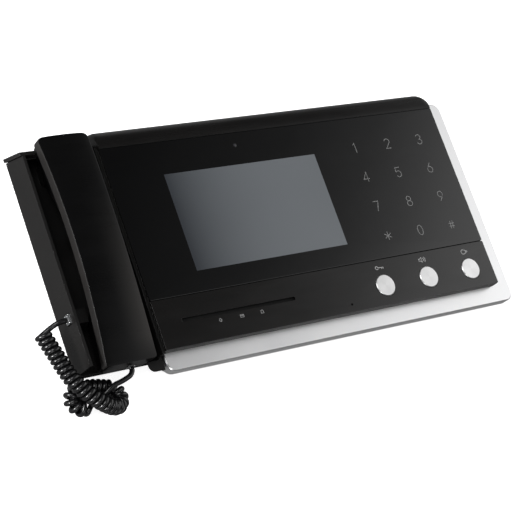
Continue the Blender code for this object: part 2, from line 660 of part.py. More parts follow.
def make_connectors():
    finishes = {"ethernet_jack": steel(), "usb_port": steel(), "power_jack": dark_component(),
                "terminal_block": material("terminal_green", (0.02, 0.25, 0.08), 0.5)}
    for name, x, size, z0 in CONNECTORS:
        centre_y = CONNECTOR_FACE_Y + size[1] / 2
        body = block(name, (x, centre_y, z0, CONNECTOR_TOP), size, finishes[name])
        if name == "terminal_block":
            ways = 8
            pitch = size[0] / ways
            for number in range(ways):
                mouth_x = x + (number - (ways - 1) / 2) * pitch
                cut(body, block("terminal_mouth_%d" % number,
                                (mouth_x, CONNECTOR_FACE_Y, z0 + 2 * MM, z0 + 6 * MM),
                                (pitch * 0.6, 12 * MM), None))
            continue
        wall = 1.2 * MM
        cut(body, block(name + "_mouth",
                        (x, CONNECTOR_FACE_Y, z0 + wall, CONNECTOR_TOP - wall),
                        (size[0] - 2 * wall, size[1] * 1.3), None))


def make_buttons():
    middle = BUTTON_X[1]
    board_top = BUTTON_BOARD_Z + BOARD_THICKNESS
    rounded_block("button_board", (middle, BUTTON_Y, BUTTON_BOARD_Z, board_top),
                  BUTTON_BOARD_SIZE, 1.5 * MM, circuit_board())
    tip_low = board_top + GAP + TACT_HEIGHT - TACT_TIP + BUTTON_TRAVEL + GAP
    for number, x in enumerate(BUTTON_X, 1):
        place = (x, BUTTON_Y)
        body_top = board_top + GAP + TACT_HEIGHT
        tact = block("tact_switch_%d" % number, (*place, board_top + GAP, body_top),
                     (TACT_SIZE, TACT_SIZE), dark_component())
        cut(tact, disc("tact_bore_%d" % number, place, 1.9 * MM, tip_low - BUTTON_TRAVEL - GAP,
                       FRONT_Z, None, 16))
        turned("switch_plunger_%d" % number, ((1.6 * MM, tip_low), (1.6 * MM, STEM_END_Z - GAP)),
               dark_component(), (*place, 0.0), 16)
        face = FRONT_Z + BUTTON_PROUD
        edge = 0.5 * MM
        collar_top = FRONT_Z - GLASS_THICKNESS - GAP
        collar_low = collar_top - 1.2 * MM
        head, collar, stem = BUTTON_DIAMETER / 2, BUTTON_COLLAR / 2, BUTTON_STEM / 2
        turned("button_%d" % number,
               ((stem, STEM_END_Z), (stem, collar_low), (collar, collar_low),
                (collar, collar_top), (head, collar_top), (head, face - edge),
                (head - edge, face)), satin_aluminium(), (*place, 0.0))


def make_speaker_and_status():
    middle = (SPEAKER_X[0] + SPEAKER_X[1]) / 2
    length = SPEAKER_X[1] - SPEAKER_X[0]
    under = FRONT_Z - GLASS_THICKNESS - GAP
    block("speaker_mesh", (middle, SPEAKER_Y, under - 0.4 * MM, under),
          (length + 2 * MM, SPEAKER_SLOT + 2 * MM), steel())
    low, high = LOUDSPEAKER_Z
    speaker = rounded_block("loudspeaker", (middle, SPEAKER_Y, low, high), LOUDSPEAKER_SIZE,
                            9 * MM, dark_component())
    cut(speaker, rounded_block("loudspeaker_cone", (middle, SPEAKER_Y, high - 2 * MM, FRONT_Z),
                               (LOUDSPEAKER_SIZE[0] - 6 * MM, LOUDSPEAKER_SIZE[1] - 6 * MM),
                               7 * MM, None))
    board_y = STATUS_Y - 2 * MM
    block("status_board", (STATUS_X[1], board_y, STATUS_BOARD_Z, STATUS_BOARD_Z + 1.0 * MM),
          (52 * MM, 7.0 * MM), circuit_board())
    for number, x in enumerate(STATUS_X, 1):
        block("status_light_pipe_%d" % number,
              (x, STATUS_Y, STATUS_BOARD_Z + 1.0 * MM + GAP, FRONT_Z - 0.1 * MM),
              (STATUS_PIPE, STATUS_PIPE), clear_plastic())


def make_microphone_and_camera():
    under = FRONT_Z - GLASS_THICKNESS - GAP
    disc("panel_microphone", MIC_POINT, 3.0 * MM, under - 2.7 * MM, under, steel(), 20)
    camera = block("camera_module", (*CAMERA_POINT, under - 6.0 * MM, under - SKIN - GAP),
                   (8.0 * MM, 8.0 * MM), dark_component())
    fuse(camera, disc("camera_barrel", CAMERA_POINT, 3.0 * MM, under - 5.0 * MM, under, None, 16))


# ------------------------------------------------------------------ cradle
def make_cradle_tray():
    left = -BODY_HALF_WIDTH
    wall_side = [(CRADLE_BOTTOM + 1.0 * MM, CRADLE_BACK_Z), (CRADLE_TOP_BACK, CRADLE_BACK_Z),
                 (CRADLE_TOP_FRONT, FRONT_Z), (CRADLE_BOTTOM + 1.0 * MM, FRONT_Z)]
    tray = loft("cradle_tray",
                [[(x, y, z) for y, z in wall_side] for x in (left, left + CRADLE_WALL)],
                black_plastic())
    floor_low = CRADLE_FLOOR_TOP - CRADLE_FLOOR
    centre_x = (left + CRADLE_RIGHT) / 2
    centre_y = (CRADLE_BOTTOM + CRADLE_TOP_FRONT) / 2
    overlap = 1.0 * MM
    rake = (CRADLE_TOP_BACK - CRADLE_TOP_FRONT) / (FRONT_Z - CRADLE_BACK_Z)
    floor_end = CRADLE_TOP_FRONT + (FRONT_Z - CRADLE_FLOOR_TOP) * rake
    floor = block("cradle_floor",
                  (centre_x, (CRADLE_BOTTOM + floor_end) / 2, floor_low, CRADLE_FLOOR_TOP),
                  (CRADLE_RIGHT - left - 2 * overlap, floor_end - CRADLE_BOTTOM), None)
    fuse(tray, floor)
    inner = block("cradle_inner_wall",
                  (CRADLE_RIGHT - CRADLE_WALL / 2, centre_y, CRADLE_BACK_Z, CRADLE_INNER_WALL_Z),
                  (CRADLE_WALL, CRADLE_TOP_FRONT - CRADLE_BOTTOM + overlap), None)
    fuse(tray, inner)
    foot_left, foot_right = CRADLE_RIGHT - CRADLE_FOOT_WIDTH, CRADLE_RIGHT - 0.02 * MM
    foot_top = HANDSET_BOTTOM_Y - 0.4 * MM
    foot_loops = []
    foot_levels = ((6.0 * MM, 3.2 * MM, CRADLE_FOOT_LOW_Z), (0.0, 0.0, CRADLE_FOOT_TOP_Z))
    for left_pull, bottom_pull, z in foot_levels:
        x0, y0 = foot_left + left_pull, CRADLE_FOOT_BOTTOM + bottom_pull
        loop = [(foot_right, y0, z), (foot_right, foot_top, z), (x0, foot_top, z)]
        corner = min(CRADLE_FOOT_CORNER, foot_top - y0 - overlap)
        for step in range(ARC_STEPS + 1):
            angle = math.radians(180.0 + 90.0 * step / ARC_STEPS)
            loop.append((x0 + corner + corner * math.cos(angle),
                         y0 + corner + corner * math.sin(angle), z))
        foot_loops.append(loop)
    fuse(tray, loft("cradle_foot", foot_loops, None))
    neck_low, neck_high = foot_top - overlap, CRADLE_BOTTOM + overlap
    neck = block("cradle_foot_neck",
                 (CRADLE_RIGHT - CRADLE_WALL / 2, (neck_low + neck_high) / 2, CRADLE_FOOT_LOW_Z + GAP,
                  CRADLE_FOOT_TOP_Z - GAP), (CRADLE_WALL - GAP, neck_high - neck_low), None)
    fuse(tray, neck)
    ear_rest = rounded_block("cradle_ear_rest",
                             (HANDSET_X, EAR_POINT_Y - 4 * MM, floor_low + overlap,
                              EAR_BLOCK_Z - GAP), (34 * MM, 18 * MM), 3 * MM, None)
    fuse(tray, ear_rest)
    mouth_rest = rounded_block("cradle_mouth_rest",
                               (HANDSET_X, MOUTH_POINT_Y, floor_low + overlap,
                                MOUTH_BLOCK_Z - GAP), (34 * MM, 18 * MM), 3 * MM, None)
    fuse(tray, mouth_rest)
    boss = disc("cradle_hook_boss", (HANDSET_X, HOOK_Y), HOOK_FLANGE / 2 + 2.6 * MM,
                floor_low + overlap, HOOK_BOSS_Z, None)
    fuse(tray, boss)
    cut(tray, disc("cradle_hook_well", (HANDSET_X, HOOK_Y), HOOK_FLANGE / 2 + 0.6 * MM,
                   0.0, HOOK_BOSS_Z - HOOK_ROOF, None))
    cut(tray, disc("cradle_hook_bore", (HANDSET_X, HOOK_Y), HOOK_BORE / 2, 0.0, 2 * FRONT_Z,
                   None, 24))
    socket = block("cradle_line_opening", (left, LINE_Y, LINE_Z - JACK_SIZE[2] / 2 + 1.0 * MM,
                                           LINE_Z + JACK_SIZE[2] / 2 - 1.0 * MM),
                   (4 * CRADLE_WALL, JACK_SIZE[1] - 2.0 * MM), None)
    cut(tray, socket)


def make_cradle_end_cap():
    """The raked sheet that closes the cradle's top end and stands proud of its side wall."""
    def cap_loops(x0, x1, top_z):
        lean = (LIP_BACK_Y - LIP_FRONT_Y) / (FRONT_Z - LIP_BACK_Z)
        top_y = LIP_BACK_Y - lean * (top_z - LIP_BACK_Z)
        section = [(LIP_BACK_Y - LIP_THICKNESS, LIP_BACK_Z), (LIP_BACK_Y, LIP_BACK_Z),
                   (top_y, top_z), (top_y - LIP_THICKNESS, top_z)]
        return [[(x, y, z) for y, z in section] for x in (x0, x1)]

    low_end = CRADLE_RIGHT - 1.0 * MM
    cap = loft("cradle_end_cap",
               cap_loops(-BODY_HALF_WIDTH - LIP_OVERHANG, low_end, LIP_LOW_Z), black_plastic())
    fuse(cap, loft("end_cap_tall",
                   cap_loops(-BODY_HALF_WIDTH - LIP_OVERHANG, LIP_STEP_X, FRONT_Z - 0.2 * MM),
                   None))


# ------------------------------------------------------------------ hook switch


def make_hook_switch():
    place = (HANDSET_X, HOOK_Y)
    stem, flange = HOOK_STEM / 2, HOOK_FLANGE / 2
    tip = 1.4 * MM
    tail = 1.5 * MM
    turned("hook_plunger",
           ((tail, HOOK_SWITCH_TOP + GAP), (tail, HOOK_FLANGE_Z - 1.6 * MM),
            (flange, HOOK_FLANGE_Z - 1.6 * MM), (flange, HOOK_FLANGE_Z), (stem, HOOK_FLANGE_Z),
            (stem, HOOK_TOP_Z - tip), (stem - tip, HOOK_TOP_Z)), dark_component(),
           (*place, 0.0), 24)
    rounded_block("hook_board", (*place, HOOK_BOARD_Z - BOARD_THICKNESS, HOOK_BOARD_Z),
                  (30 * MM, 18 * MM), 1.5 * MM, circuit_board())
    block("hook_microswitch", (*place, HOOK_BOARD_Z + GAP, HOOK_SWITCH_TOP),
          (5.6 * MM, 4.6 * MM), dark_component())
    wire = 0.35 * MM
    turns, per_turn = 5, 12
    low = HOOK_BOARD_Z + GAP + wire
    high = HOOK_FLANGE_Z - 1.6 * MM - GAP - wire
    radius = flange - 0.6 * MM
    path = []
    for step in range(turns * per_turn + 1):
        angle = math.tau * step / per_turn
        rise = low + (high - low) * step / (turns * per_turn)
        path.append((place[0] + radius * math.cos(angle), place[1] + radius * math.sin(angle), rise))
    sweep("hook_spring", path, wire, 6, steel())


# ------------------------------------------------------------------ handset
def handset_back_z(y):
    """Height of the handset's arched back."""
    return HANDSET_CROWN_Z - (y - HANDSET_CROWN_Y) ** 2 / (2.0 * HANDSET_ARC)


def handset_half_width(y):
    reach = (HANDSET_TOP_Y - HANDSET_BOTTOM_Y) / 2
    return HANDSET_WAIST + HANDSET_FLARE * ((y - HANDSET_WAIST_Y) / reach) ** 2


def handset_stations(y0, y1, skin):
    """Places along the handset with the plan rounding of its two ends, as (y, pull-in)."""
    steps = 5
    low, high = (max(corner - skin, 0.4 * MM) for corner in HANDSET_CORNERS)
    angles = [math.radians(90.0 * step / steps) for step in range(steps + 1)]
    stations = [(y0 + low * (1.0 - math.cos(a)), low * (1.0 - math.sin(a))) for a in angles]
    middle = 16
    start, stop = y0 + low, y1 - high
    stations += [(start + (stop - start) * n / middle, 0.0) for n in range(1, middle)]
    stations += [(y1 - high * (1.0 - math.cos(a)), high * (1.0 - math.sin(a)))
                 for a in reversed(angles)]
    return stations


def outer_loops(skin, bottom_drop):
    loops = []
    edge = HANDSET_EDGE
    for y, pull in handset_stations(HANDSET_BOTTOM_Y + skin, HANDSET_TOP_Y - skin, skin):
        half = handset_half_width(y) - skin - pull
        top = handset_back_z(y) - skin
        bottom = handset_back_z(y) - bottom_drop
        rim = top - HANDSET_CAMBER
        section = [(-half, bottom), (half, bottom), (half, rim - edge),
                   (half - edge * 0.3, rim - edge * 0.3)]
        for step in range(HANDSET_CAMBER_STEPS + 1):
            share = 1.0 - 2.0 * step / HANDSET_CAMBER_STEPS
            section.append((share * (half - edge), top - HANDSET_CAMBER * share ** 2))
        section += [(-half + edge * 0.3, rim - edge * 0.3), (-half, rim - edge)]
        loops.append([(HANDSET_X + x, y, z) for x, z in section])
    return loops


def block_depth(y, span, depth_z, grip_z):
    """Bottom of an end block: flat, then a quarter ellipse up to the grip."""
    start, full = span
    share = (y - start) / (full - start)
    if share <= 0.0:
        return grip_z
    share = min(share, 1.0)
    return depth_z + (grip_z - depth_z) * (1.0 - math.sqrt(1.0 - (1.0 - share) ** 2))


def inner_bottom_z(y):
    grip = handset_back_z(y) - HANDSET_SIDE - GRIP_DEPTH
    ear = block_depth(y, EAR_BLOCK_Y, EAR_BLOCK_Z, grip)
    mouth = block_depth(y, MOUTH_BLOCK_Y, MOUTH_BLOCK_Z, grip)
    return min(ear, mouth)


def inner_loops(skin, top_lift):
    loops = []
    inset = INNER_INSET + skin
    ends = (HANDSET_BOTTOM_Y + 0.6 * MM + skin, HANDSET_TOP_Y - INNER_INSET - skin)
    for y, pull in handset_stations(*ends, skin):
        half = handset_half_width(y) - inset - pull
        top = handset_back_z(y) - HANDSET_SIDE - GAP + top_lift
        bottom = inner_bottom_z(y) + skin
        round_off = min(3.0 * MM, (top - bottom) * 0.45)
        section = [(-half + round_off, bottom), (half - round_off, bottom),
                   (half - round_off * 0.3, bottom + round_off * 0.3), (half, bottom + round_off),
                   (half, top), (-half, top),
                   (-half, bottom + round_off), (-half + round_off * 0.3, bottom + round_off * 0.3)]
        loops.append([(HANDSET_X + x, y, z) for x, z in section])
    return loops


def make_handset_shells():
    outer = loft("handset_outer_shell", outer_loops(0.0, HANDSET_SIDE), black_plastic(),
                 smooth=True)
    cut(outer, loft("outer_shell_hollow", outer_loops(HANDSET_SKIN, 2 * HANDSET_SIDE), None))
    inner = loft("handset_inner_shell", inner_loops(0.0, 0.0), black_plastic(), smooth=True)
    cut(inner, loft("inner_shell_hollow", inner_loops(HANDSET_SKIN, HANDSET_SIDE), None))
    hole_radius = 1.3 * MM
    ring_radius = 6.0 * MM
    for label, y, depth in (("ear", EAR_POINT_Y, EAR_BLOCK_Z), ("mouth", MOUTH_POINT_Y, MOUTH_BLOCK_Z)):
        spots = [(HANDSET_X, y)]
        for step in range(6):
            angle = math.tau * step / 6
            spots.append((HANDSET_X + ring_radius * math.cos(angle),
                          y + ring_radius * math.sin(angle)))
        for number, spot in enumerate(spots, 1):
            cut(inner, disc("%s_sound_hole_%d" % (label, number), spot, hole_radius,
                            depth - 3 * MM, depth + 2 * HANDSET_SKIN, None, 10))
    socket_depth = 8 * MM
    cut(inner, block("handset_plug_opening",
                     (HANDSET_CORD_X, HANDSET_BOTTOM_Y, HANDSET_CORD_Z - PLUG_SIZE[2] / 2 - GAP,
                      HANDSET_CORD_Z + PLUG_SIZE[2] / 2 + GAP),
                     (PLUG_SIZE[1] + 2 * GAP, 2 * socket_depth), None))
    boss_y = HANDSET_WAIST_Y
    for number, side in enumerate((-1, 1), 1):
        y = boss_y + side * 22 * MM
        base = inner_bottom_z(y)
        cut(inner, disc("handset_screw_hole_%d" % number, (HANDSET_X, y), SCREW_SHANK / 2 + GAP,
                        base - 5 * MM, base + 5 * MM, None, 12))
        head = SCREW_HEAD / 2 * 0.9
        shank = SCREW_SHANK / 2
        turned("handset_screw_%d" % number,
               ((head, base - 1.3 * MM), (head, base - GAP), (shank, base - GAP),
                (shank, base + 6.5 * MM)), steel(), (HANDSET_X, y, 0.0), 16)


def make_handset_parts():
    disc("receiver_capsule", (HANDSET_X, EAR_POINT_Y), 12.5 * MM,
         EAR_BLOCK_Z + HANDSET_SKIN + GAP, EAR_BLOCK_Z + HANDSET_SKIN + 8 * MM, dark_component())
    disc("handset_microphone", (HANDSET_X, MOUTH_POINT_Y + 2 * MM), 4.8 * MM,
         MOUTH_BLOCK_Z + HANDSET_SKIN + GAP, MOUTH_BLOCK_Z + HANDSET_SKIN + 3.4 * MM, steel(), 24)
    weight_y = 46.0 * MM
    top = handset_back_z(weight_y) - HANDSET_SKIN - 1.2 * MM
    rounded_block("handset_weight", (HANDSET_X, weight_y, top - 6.5 * MM, top),
                  (24 * MM, 26 * MM), 2 * MM, steel())


# ------------------------------------------------------------------ line cord


def make_line_socket():
    wall_inside = -BODY_HALF_WIDTH + CRADLE_WALL
    jack_x = wall_inside + GAP + JACK_SIZE[0] / 2
    jack = block("line_jack", (jack_x, LINE_Y, LINE_Z - JACK_SIZE[2] / 2, LINE_Z + JACK_SIZE[2] / 2),
                 JACK_SIZE[:2], dark_component())
    plug_x = -BODY_HALF_WIDTH - PLUG_PROUD + PLUG_SIZE[0] / 2
    plug_z = (LINE_Z - PLUG_SIZE[2] / 2, LINE_Z + PLUG_SIZE[2] / 2)
    cut(jack, block("line_jack_mouth", (jack_x - JACK_SIZE[0] / 2, LINE_Y, plug_z[0] - GAP,
                                        plug_z[1] + GAP),
                    (2 * 7.5 * MM, PLUG_SIZE[1] + 2 * GAP), None))
    block("line_plug", (plug_x, LINE_Y, *plug_z), PLUG_SIZE[:2], clear_plastic())
    plug_y = HANDSET_BOTTOM_Y - 0.2 * MM + 3.5 * MM
    block("handset_plug", (HANDSET_CORD_X, plug_y, HANDSET_CORD_Z - PLUG_SIZE[2] / 2,
                           HANDSET_CORD_Z + PLUG_SIZE[2] / 2),
          (PLUG_SIZE[1], 7 * MM), clear_plastic())


def smooth_course(points, per_span):
    """Points of a smooth curve through the given ones."""
    knots = [Vector(point) for point in points]
    knots = [2 * knots[0] - knots[1]] + knots + [2 * knots[-1] - knots[-2]]
    course = []
    for p0, p1, p2, p3 in zip(knots, knots[1:], knots[2:], knots[3:]):
        for step in range(per_span):
            t = step / per_span
            course.append(0.5 * (2 * p1 + (p2 - p0) * t + (2 * p0 - 5 * p1 + 4 * p2 - p3) * t ** 2
                                 + (3 * p1 - p0 - 3 * p2 + p3) * t ** 3))
    course.append(knots[-2])
    return course


def make_coil_cord():
    """Envelope of the coil with its straight ends; the single turns are not modelled here."""
    cord = sweep("coil_cord", smooth_course(CORD_COURSE, 3), CORD_COIL / 2, 12, rubber())
    for name, course in (("cord_lead", CORD_LEAD), ("cord_tail", CORD_TAIL)):
        fuse(cord, sweep(name, smooth_course(course, 3), CORD_WIRE / 2, 10, None))


# ------------------------------------------------------------------ assembly
def build():
    clear_scene()
    make_front_housing()
    make_touch_glass()
    make_button_fascia()
    make_trim_plate()
    make_rear_cover()
    make_feet_and_screws()
    make_display()
    make_keypad_board()
    make_main_board()
    make_connectors()
    make_buttons()
    make_speaker_and_status()
    make_microphone_and_camera()
    make_cradle_tray()
    make_cradle_end_cap()
    make_hook_switch()
    make_handset_shells()
    make_handset_parts()
    make_line_socket()
    make_coil_cord()


build()
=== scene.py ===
"""Looks of the desk video intercom station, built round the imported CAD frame.

The station lies on its back: +Z points out of the front panel, +X runs along the panel away from
the handset, and +Y runs towards the rolled top edge.  Units are metres.
"""
import math

import bmesh
import bpy
import numpy as np
from mathutils import Matrix, Vector


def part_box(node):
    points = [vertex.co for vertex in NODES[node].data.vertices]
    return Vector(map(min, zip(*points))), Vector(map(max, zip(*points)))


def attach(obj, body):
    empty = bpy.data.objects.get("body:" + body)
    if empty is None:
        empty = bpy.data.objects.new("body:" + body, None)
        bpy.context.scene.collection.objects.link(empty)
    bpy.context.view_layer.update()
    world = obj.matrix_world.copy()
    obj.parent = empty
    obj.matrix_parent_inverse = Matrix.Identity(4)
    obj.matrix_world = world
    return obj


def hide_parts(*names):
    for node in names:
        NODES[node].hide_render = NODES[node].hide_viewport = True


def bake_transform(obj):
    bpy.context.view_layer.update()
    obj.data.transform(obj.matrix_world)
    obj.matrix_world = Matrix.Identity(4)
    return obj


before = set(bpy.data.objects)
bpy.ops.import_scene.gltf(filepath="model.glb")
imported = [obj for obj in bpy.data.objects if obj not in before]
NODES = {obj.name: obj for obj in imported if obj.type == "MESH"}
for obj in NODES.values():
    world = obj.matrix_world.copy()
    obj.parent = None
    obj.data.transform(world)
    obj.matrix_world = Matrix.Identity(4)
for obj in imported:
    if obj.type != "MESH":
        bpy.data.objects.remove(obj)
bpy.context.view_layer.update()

MM = 0.001
GLASS_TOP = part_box("touch_glass")[1].z
FLOOR_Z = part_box("rubber_foot_1")[0].z
CRADLE_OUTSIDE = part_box("cradle_tray")[0].x + 0.5 * MM      # inside of the cradle begins here
FACING_AWAY = 0.7                   # a face counts as facing a way from this share of its normal

# ---- rounded edges of the CAD nodes ----
WELD_REACH = 0.002 * MM
BEVEL_SEGMENTS = 3
BEVEL_ANGLE = 30.0

# ---- printed marks ----
PRINT_DEPTH = 0.2 * MM              # marks start this far below the face ...
PRINT_RISE = 0.03 * MM              # ... and stand this far above it
KEYPAD_TONE = 0.20
FASCIA_TONE = 0.34
STATUS_TONE = 0.22
KEY_MARK_STROKE = 0.75 * MM
BUTTON_MARK_STROKE = 0.7 * MM
STATUS_STROKE = 0.4 * MM

# ---- glass, screen and keypad ----
SCREEN_CENTRE = (-23.3 * MM, 14.8 * MM)
SCREEN_SIZE = (154.1 * MM, 85.9 * MM)
SCREEN_CORNER = 0.3 * MM
GLASS_EDGE = 0.35 * MM
GLASS_CORNERS = (0.8 * MM, 0.7 * MM, 0.5 * MM)      # at the back, halfway round the edge, in front
CORNER_STEPS = 6
CAMERA_POINT = (-23.3 * MM, 75.55 * MM)
CAMERA_RADIUS = 1.8 * MM
LENS_FLAT = 0.9                     # share of the lens's radius that is flat
LENS_BACK = 0.5 * MM                # from the glass's back to the lens's back
LENS_SIDES = 32
KEY_COLUMNS = (99.25 * MM, 136.05 * MM, 172.85 * MM)
KEY_ROWS = (58.3 * MM, 29.9 * MM, 1.55 * MM, -26.85 * MM)
DIGIT_HEIGHT = 9.2 * MM
DIGIT_STROKE = 0.62 * MM
BUTTON_X = (77.05 * MM, 125.85 * MM, 174.65 * MM)
BUTTON_MARK_Y = -53.9 * MM
STATUS_X = (-94.25 * MM, -73.45 * MM, -53.45 * MM)
STATUS_Y = -72.2 * MM

# ---- handset's painted sheen, lighter towards its lower right side: from none to full ----
PAINTED_SHEEN_X = (-186.0 * MM, -161.0 * MM)
PAINTED_SHEEN_Y = (45.0 * MM, -45.0 * MM)
PAINTED_SHEEN_END = (-92.0 * MM, -74.0 * MM)

# ---- handset cord ----
WIRE_RADIUS = 2.1 * MM
COIL_RADIUS = 4.9 * MM              # from the coil's middle line to the wire's
COIL_PITCH = 4.4 * MM
WIRE_SIDES = 14
TURN_STEPS = 24
COURSE_STEPS = 24                   # points on each span of the coil's middle line
END_STEPS = 8                       # points on each span of the two plain ends
JOIN_REACH = 6.0 * MM               # how far the coil's own course steers its plain ends
COIL_COURSE = (
    (-243.0, -52.9, 20.0), (-237.9, -69.3, 20.0), (-231.7, -88.7, 20.0), (-225.0, -100.1, 20.0),
    (-217.1, -108.8, 19.3), (-208.0, -114.8, 16.3), (-198.2, -117.6, 11.0), (-190.6, -115.6, 7.0),
    (-187.9, -108.8, 5.4), (-191.6, -102.4, 5.1), (-199.0, -99.8, 5.1), (-208.5, -97.8, 5.1),
    (-219.0, -97.2, 5.1), (-226.0, -99.6, 5.1), (-228.4, -105.5, 5.1), (-224.8, -111.2, 5.1),
    (-218.4, -112.4, 5.1))
LINE_END = (-219.0, -46.0, 24.0)
LEAD_COURSE = ((-229.0, -46.8, 22.5), (-236.5, -49.6, 17.5))
TAIL_COURSE = ((-213.5, -110.8, 7.4), (-207.5, -108.5, 8.0), (-202.5, -106.1, 13.0),
               (-196.1, -102.4, 15.5), (-186.5, -100.0, 17.2), (-180.2, -97.6, 18.2),
               (-177.5, -94.2, 18.4))
HANDSET_END = (-177.5, -90.6, 18.4)


# ------------------------------------------------------------------ node helpers
class Shader:
    """A material's node tree with short ways to add and join nodes."""

    def __init__(self, name):
        self.material = bpy.data.materials.new(name)
        self.material.use_nodes = True
        self.tree = self.material.node_tree
        self.bsdf = self.tree.nodes["Principled BSDF"]
        self.place = self.add("ShaderNodeTexCoord").outputs["Object"]

    def add(self, kind, **settings):
        node = self.tree.nodes.new(kind)
        for key, value in settings.items():
            setattr(node, key, value)
        return node

    def link(self, source, target):
        self.tree.links.new(source, target)
        return target

    def feed(self, target, value):
        if isinstance(value, bpy.types.NodeSocket):
            self.link(value, target)
        else:
            target.default_value = value

    def noise(self, scale, detail, roughness, stretch=(1.0, 1.0, 1.0), place=None):
        mapping = self.add("ShaderNodeMapping")
        self.link(place or self.place, mapping.inputs["Vector"])
        mapping.inputs["Scale"].default_value = stretch
        node = self.add("ShaderNodeTexNoise")
        self.link(mapping.outputs["Vector"], node.inputs["Vector"])
        node.inputs["Scale"].default_value = scale
        node.inputs["Detail"].default_value = detail
        node.inputs["Roughness"].default_value = roughness
        return node.outputs["Fac"]

    def spread(self, value, low, high, start=0.3, stop=0.7):
        """Maps value from start..stop to low..high."""
        node = self.add("ShaderNodeMapRange")
        self.link(value, node.inputs["Value"])
        for name, number in (("From Min", start), ("From Max", stop), ("To Min", low),
                             ("To Max", high)):
            node.inputs[name].default_value = number
        return node.outputs["Result"]

    def math(self, operation, first, second=0.0):
        node = self.add("ShaderNodeMath", operation=operation)
        self.feed(node.inputs[0], first)
        self.feed(node.inputs[1], second)
        return node.outputs[0]

    def mix(self, factor, first, second):
        node = self.add("ShaderNodeMix", data_type="RGBA")
        self.feed(node.inputs["Factor"], factor)
        self.feed(node.inputs["A"], first)
        self.feed(node.inputs["B"], second)
        return node.outputs["Result"]

    def bump(self, height, strength, distance):
        node = self.add("ShaderNodeBump")
        self.link(height, node.inputs["Height"])
        node.inputs["Strength"].default_value = strength
        node.inputs["Distance"].default_value = distance
        self.link(node.outputs["Normal"], self.bsdf.inputs["Normal"])

    def place_parts(self):
        """The place's X, Y and Z as outputs."""
        parts = self.add("ShaderNodeSeparateXYZ")
        self.link(self.place, parts.inputs[0])
        return parts.outputs

    def set(self, **values):
        names = {"color": "Base Color", "roughness": "Roughness", "metallic": "Metallic",
                 "coat": "Coat Weight", "ior": "IOR", "specular": "Specular IOR Level",
                 "transmission": "Transmission Weight", "emission": "Emission Color",
                 "glow": "Emission Strength"}
        for key, value in values.items():
            self.feed(self.bsdf.inputs[names[key]], value)
        return self.material


def grey(value):
    return (value, value, value, 1.0)


# ------------------------------------------------------------------ finishes
GRAIN_SCALE = 2600.0                # moulded plastic's spark-eroded grain
SMEAR = (14.0, 4.0, 0.6, (1.0, 5.0, 1.0))
FINGER_MARKS = (46.0, 6.0, 0.7, (1.0, 1.6, 1.0))
GRAIN_DEPTH = 0.02 * MM
SOFT_GRAIN_DEPTH = 0.03 * MM
ACRYLIC_IOR = 1.49
POLYCARBONATE_IOR = 1.58
LENS_IOR = 1.6


def moulded_black(name, tone, roughness, grain=1.0, scale=GRAIN_SCALE, specular=0.5):
    """Black moulded plastic: fine spark-eroded grain under faint smears."""
    made = Shader(name)
    fine = made.noise(scale, 3.0, 0.6)
    broad = made.noise(28.0, 5.0, 0.6)
    smear = made.noise(*SMEAR)
    color = made.mix(made.spread(broad, 0.0, 1.0), (tone * 0.92, tone * 0.86, tone * 0.84, 1.0),
                     (tone * 1.2, tone * 1.08, tone * 1.02, 1.0))
    rough = made.math("ADD", made.spread(smear, roughness - 0.035, roughness + 0.045),
                      made.spread(fine, -0.02, 0.02))
    made.bump(fine, 0.10 * grain, GRAIN_DEPTH)
    return made.set(color=color, roughness=rough, specular=specular)


def handset_black_painted_sheen(name):
    """The handset's black: near black, with a painted sheen that greys its lower right side,
    standing in for light on its curve.
    """
    made = Shader(name)
    parts = made.place_parts()
    across = made.spread(parts["X"], 0.0, 1.0, *PAINTED_SHEEN_X)
    along = made.spread(parts["Y"], 0.0, 1.0, *PAINTED_SHEEN_Y)
    # painted sheen: the colour lightens towards the lower right, in place of light falling there
    painted_sheen = made.math("MULTIPLY", made.math("POWER", across, 1.6), along)
    painted_sheen = made.math("MULTIPLY", painted_sheen, made.spread(parts["Y"], 0.15, 1.0, *PAINTED_SHEEN_END))
    fine = made.noise(GRAIN_SCALE, 3.0, 0.6)
    smear = made.noise(*SMEAR)
    color = made.mix(painted_sheen, (0.0018, 0.0018, 0.0019, 1.0), (0.026, 0.024, 0.0225, 1.0))
    rough = made.math("ADD", made.spread(smear, 0.26, 0.33), made.spread(fine, -0.02, 0.02))
    made.bump(fine, 0.04, GRAIN_DEPTH)
    return made.set(color=color, roughness=rough, specular=0.12)


def black_glass(name):
    """Back-printed acrylic: deep black under a polished face with faint dust and finger marks."""
    made = Shader(name)
    broad = made.noise(9.0, 5.0, 0.62)
    marks = made.noise(*FINGER_MARKS)
    dust = made.spread(made.noise(1900.0, 2.0, 0.5), 0.0, 1.0, 0.72, 0.80)
    base = made.mix(made.spread(broad, 0.0, 1.0), (0.0022, 0.0023, 0.0025, 1.0),
                    (0.0032, 0.0032, 0.0034, 1.0))
    color = made.mix(made.math("MULTIPLY", dust, 0.03), base, grey(0.35))
    rough = made.math("ADD", made.spread(marks, 0.045, 0.10), made.math("MULTIPLY", dust, 0.1))
    made.bump(broad, 0.02, 0.2 * MM)
    return made.set(color=color, roughness=rough, ior=ACRYLIC_IOR)


PIXEL_WAVES = 1660.0                # wave texture scale that gives one band to each column


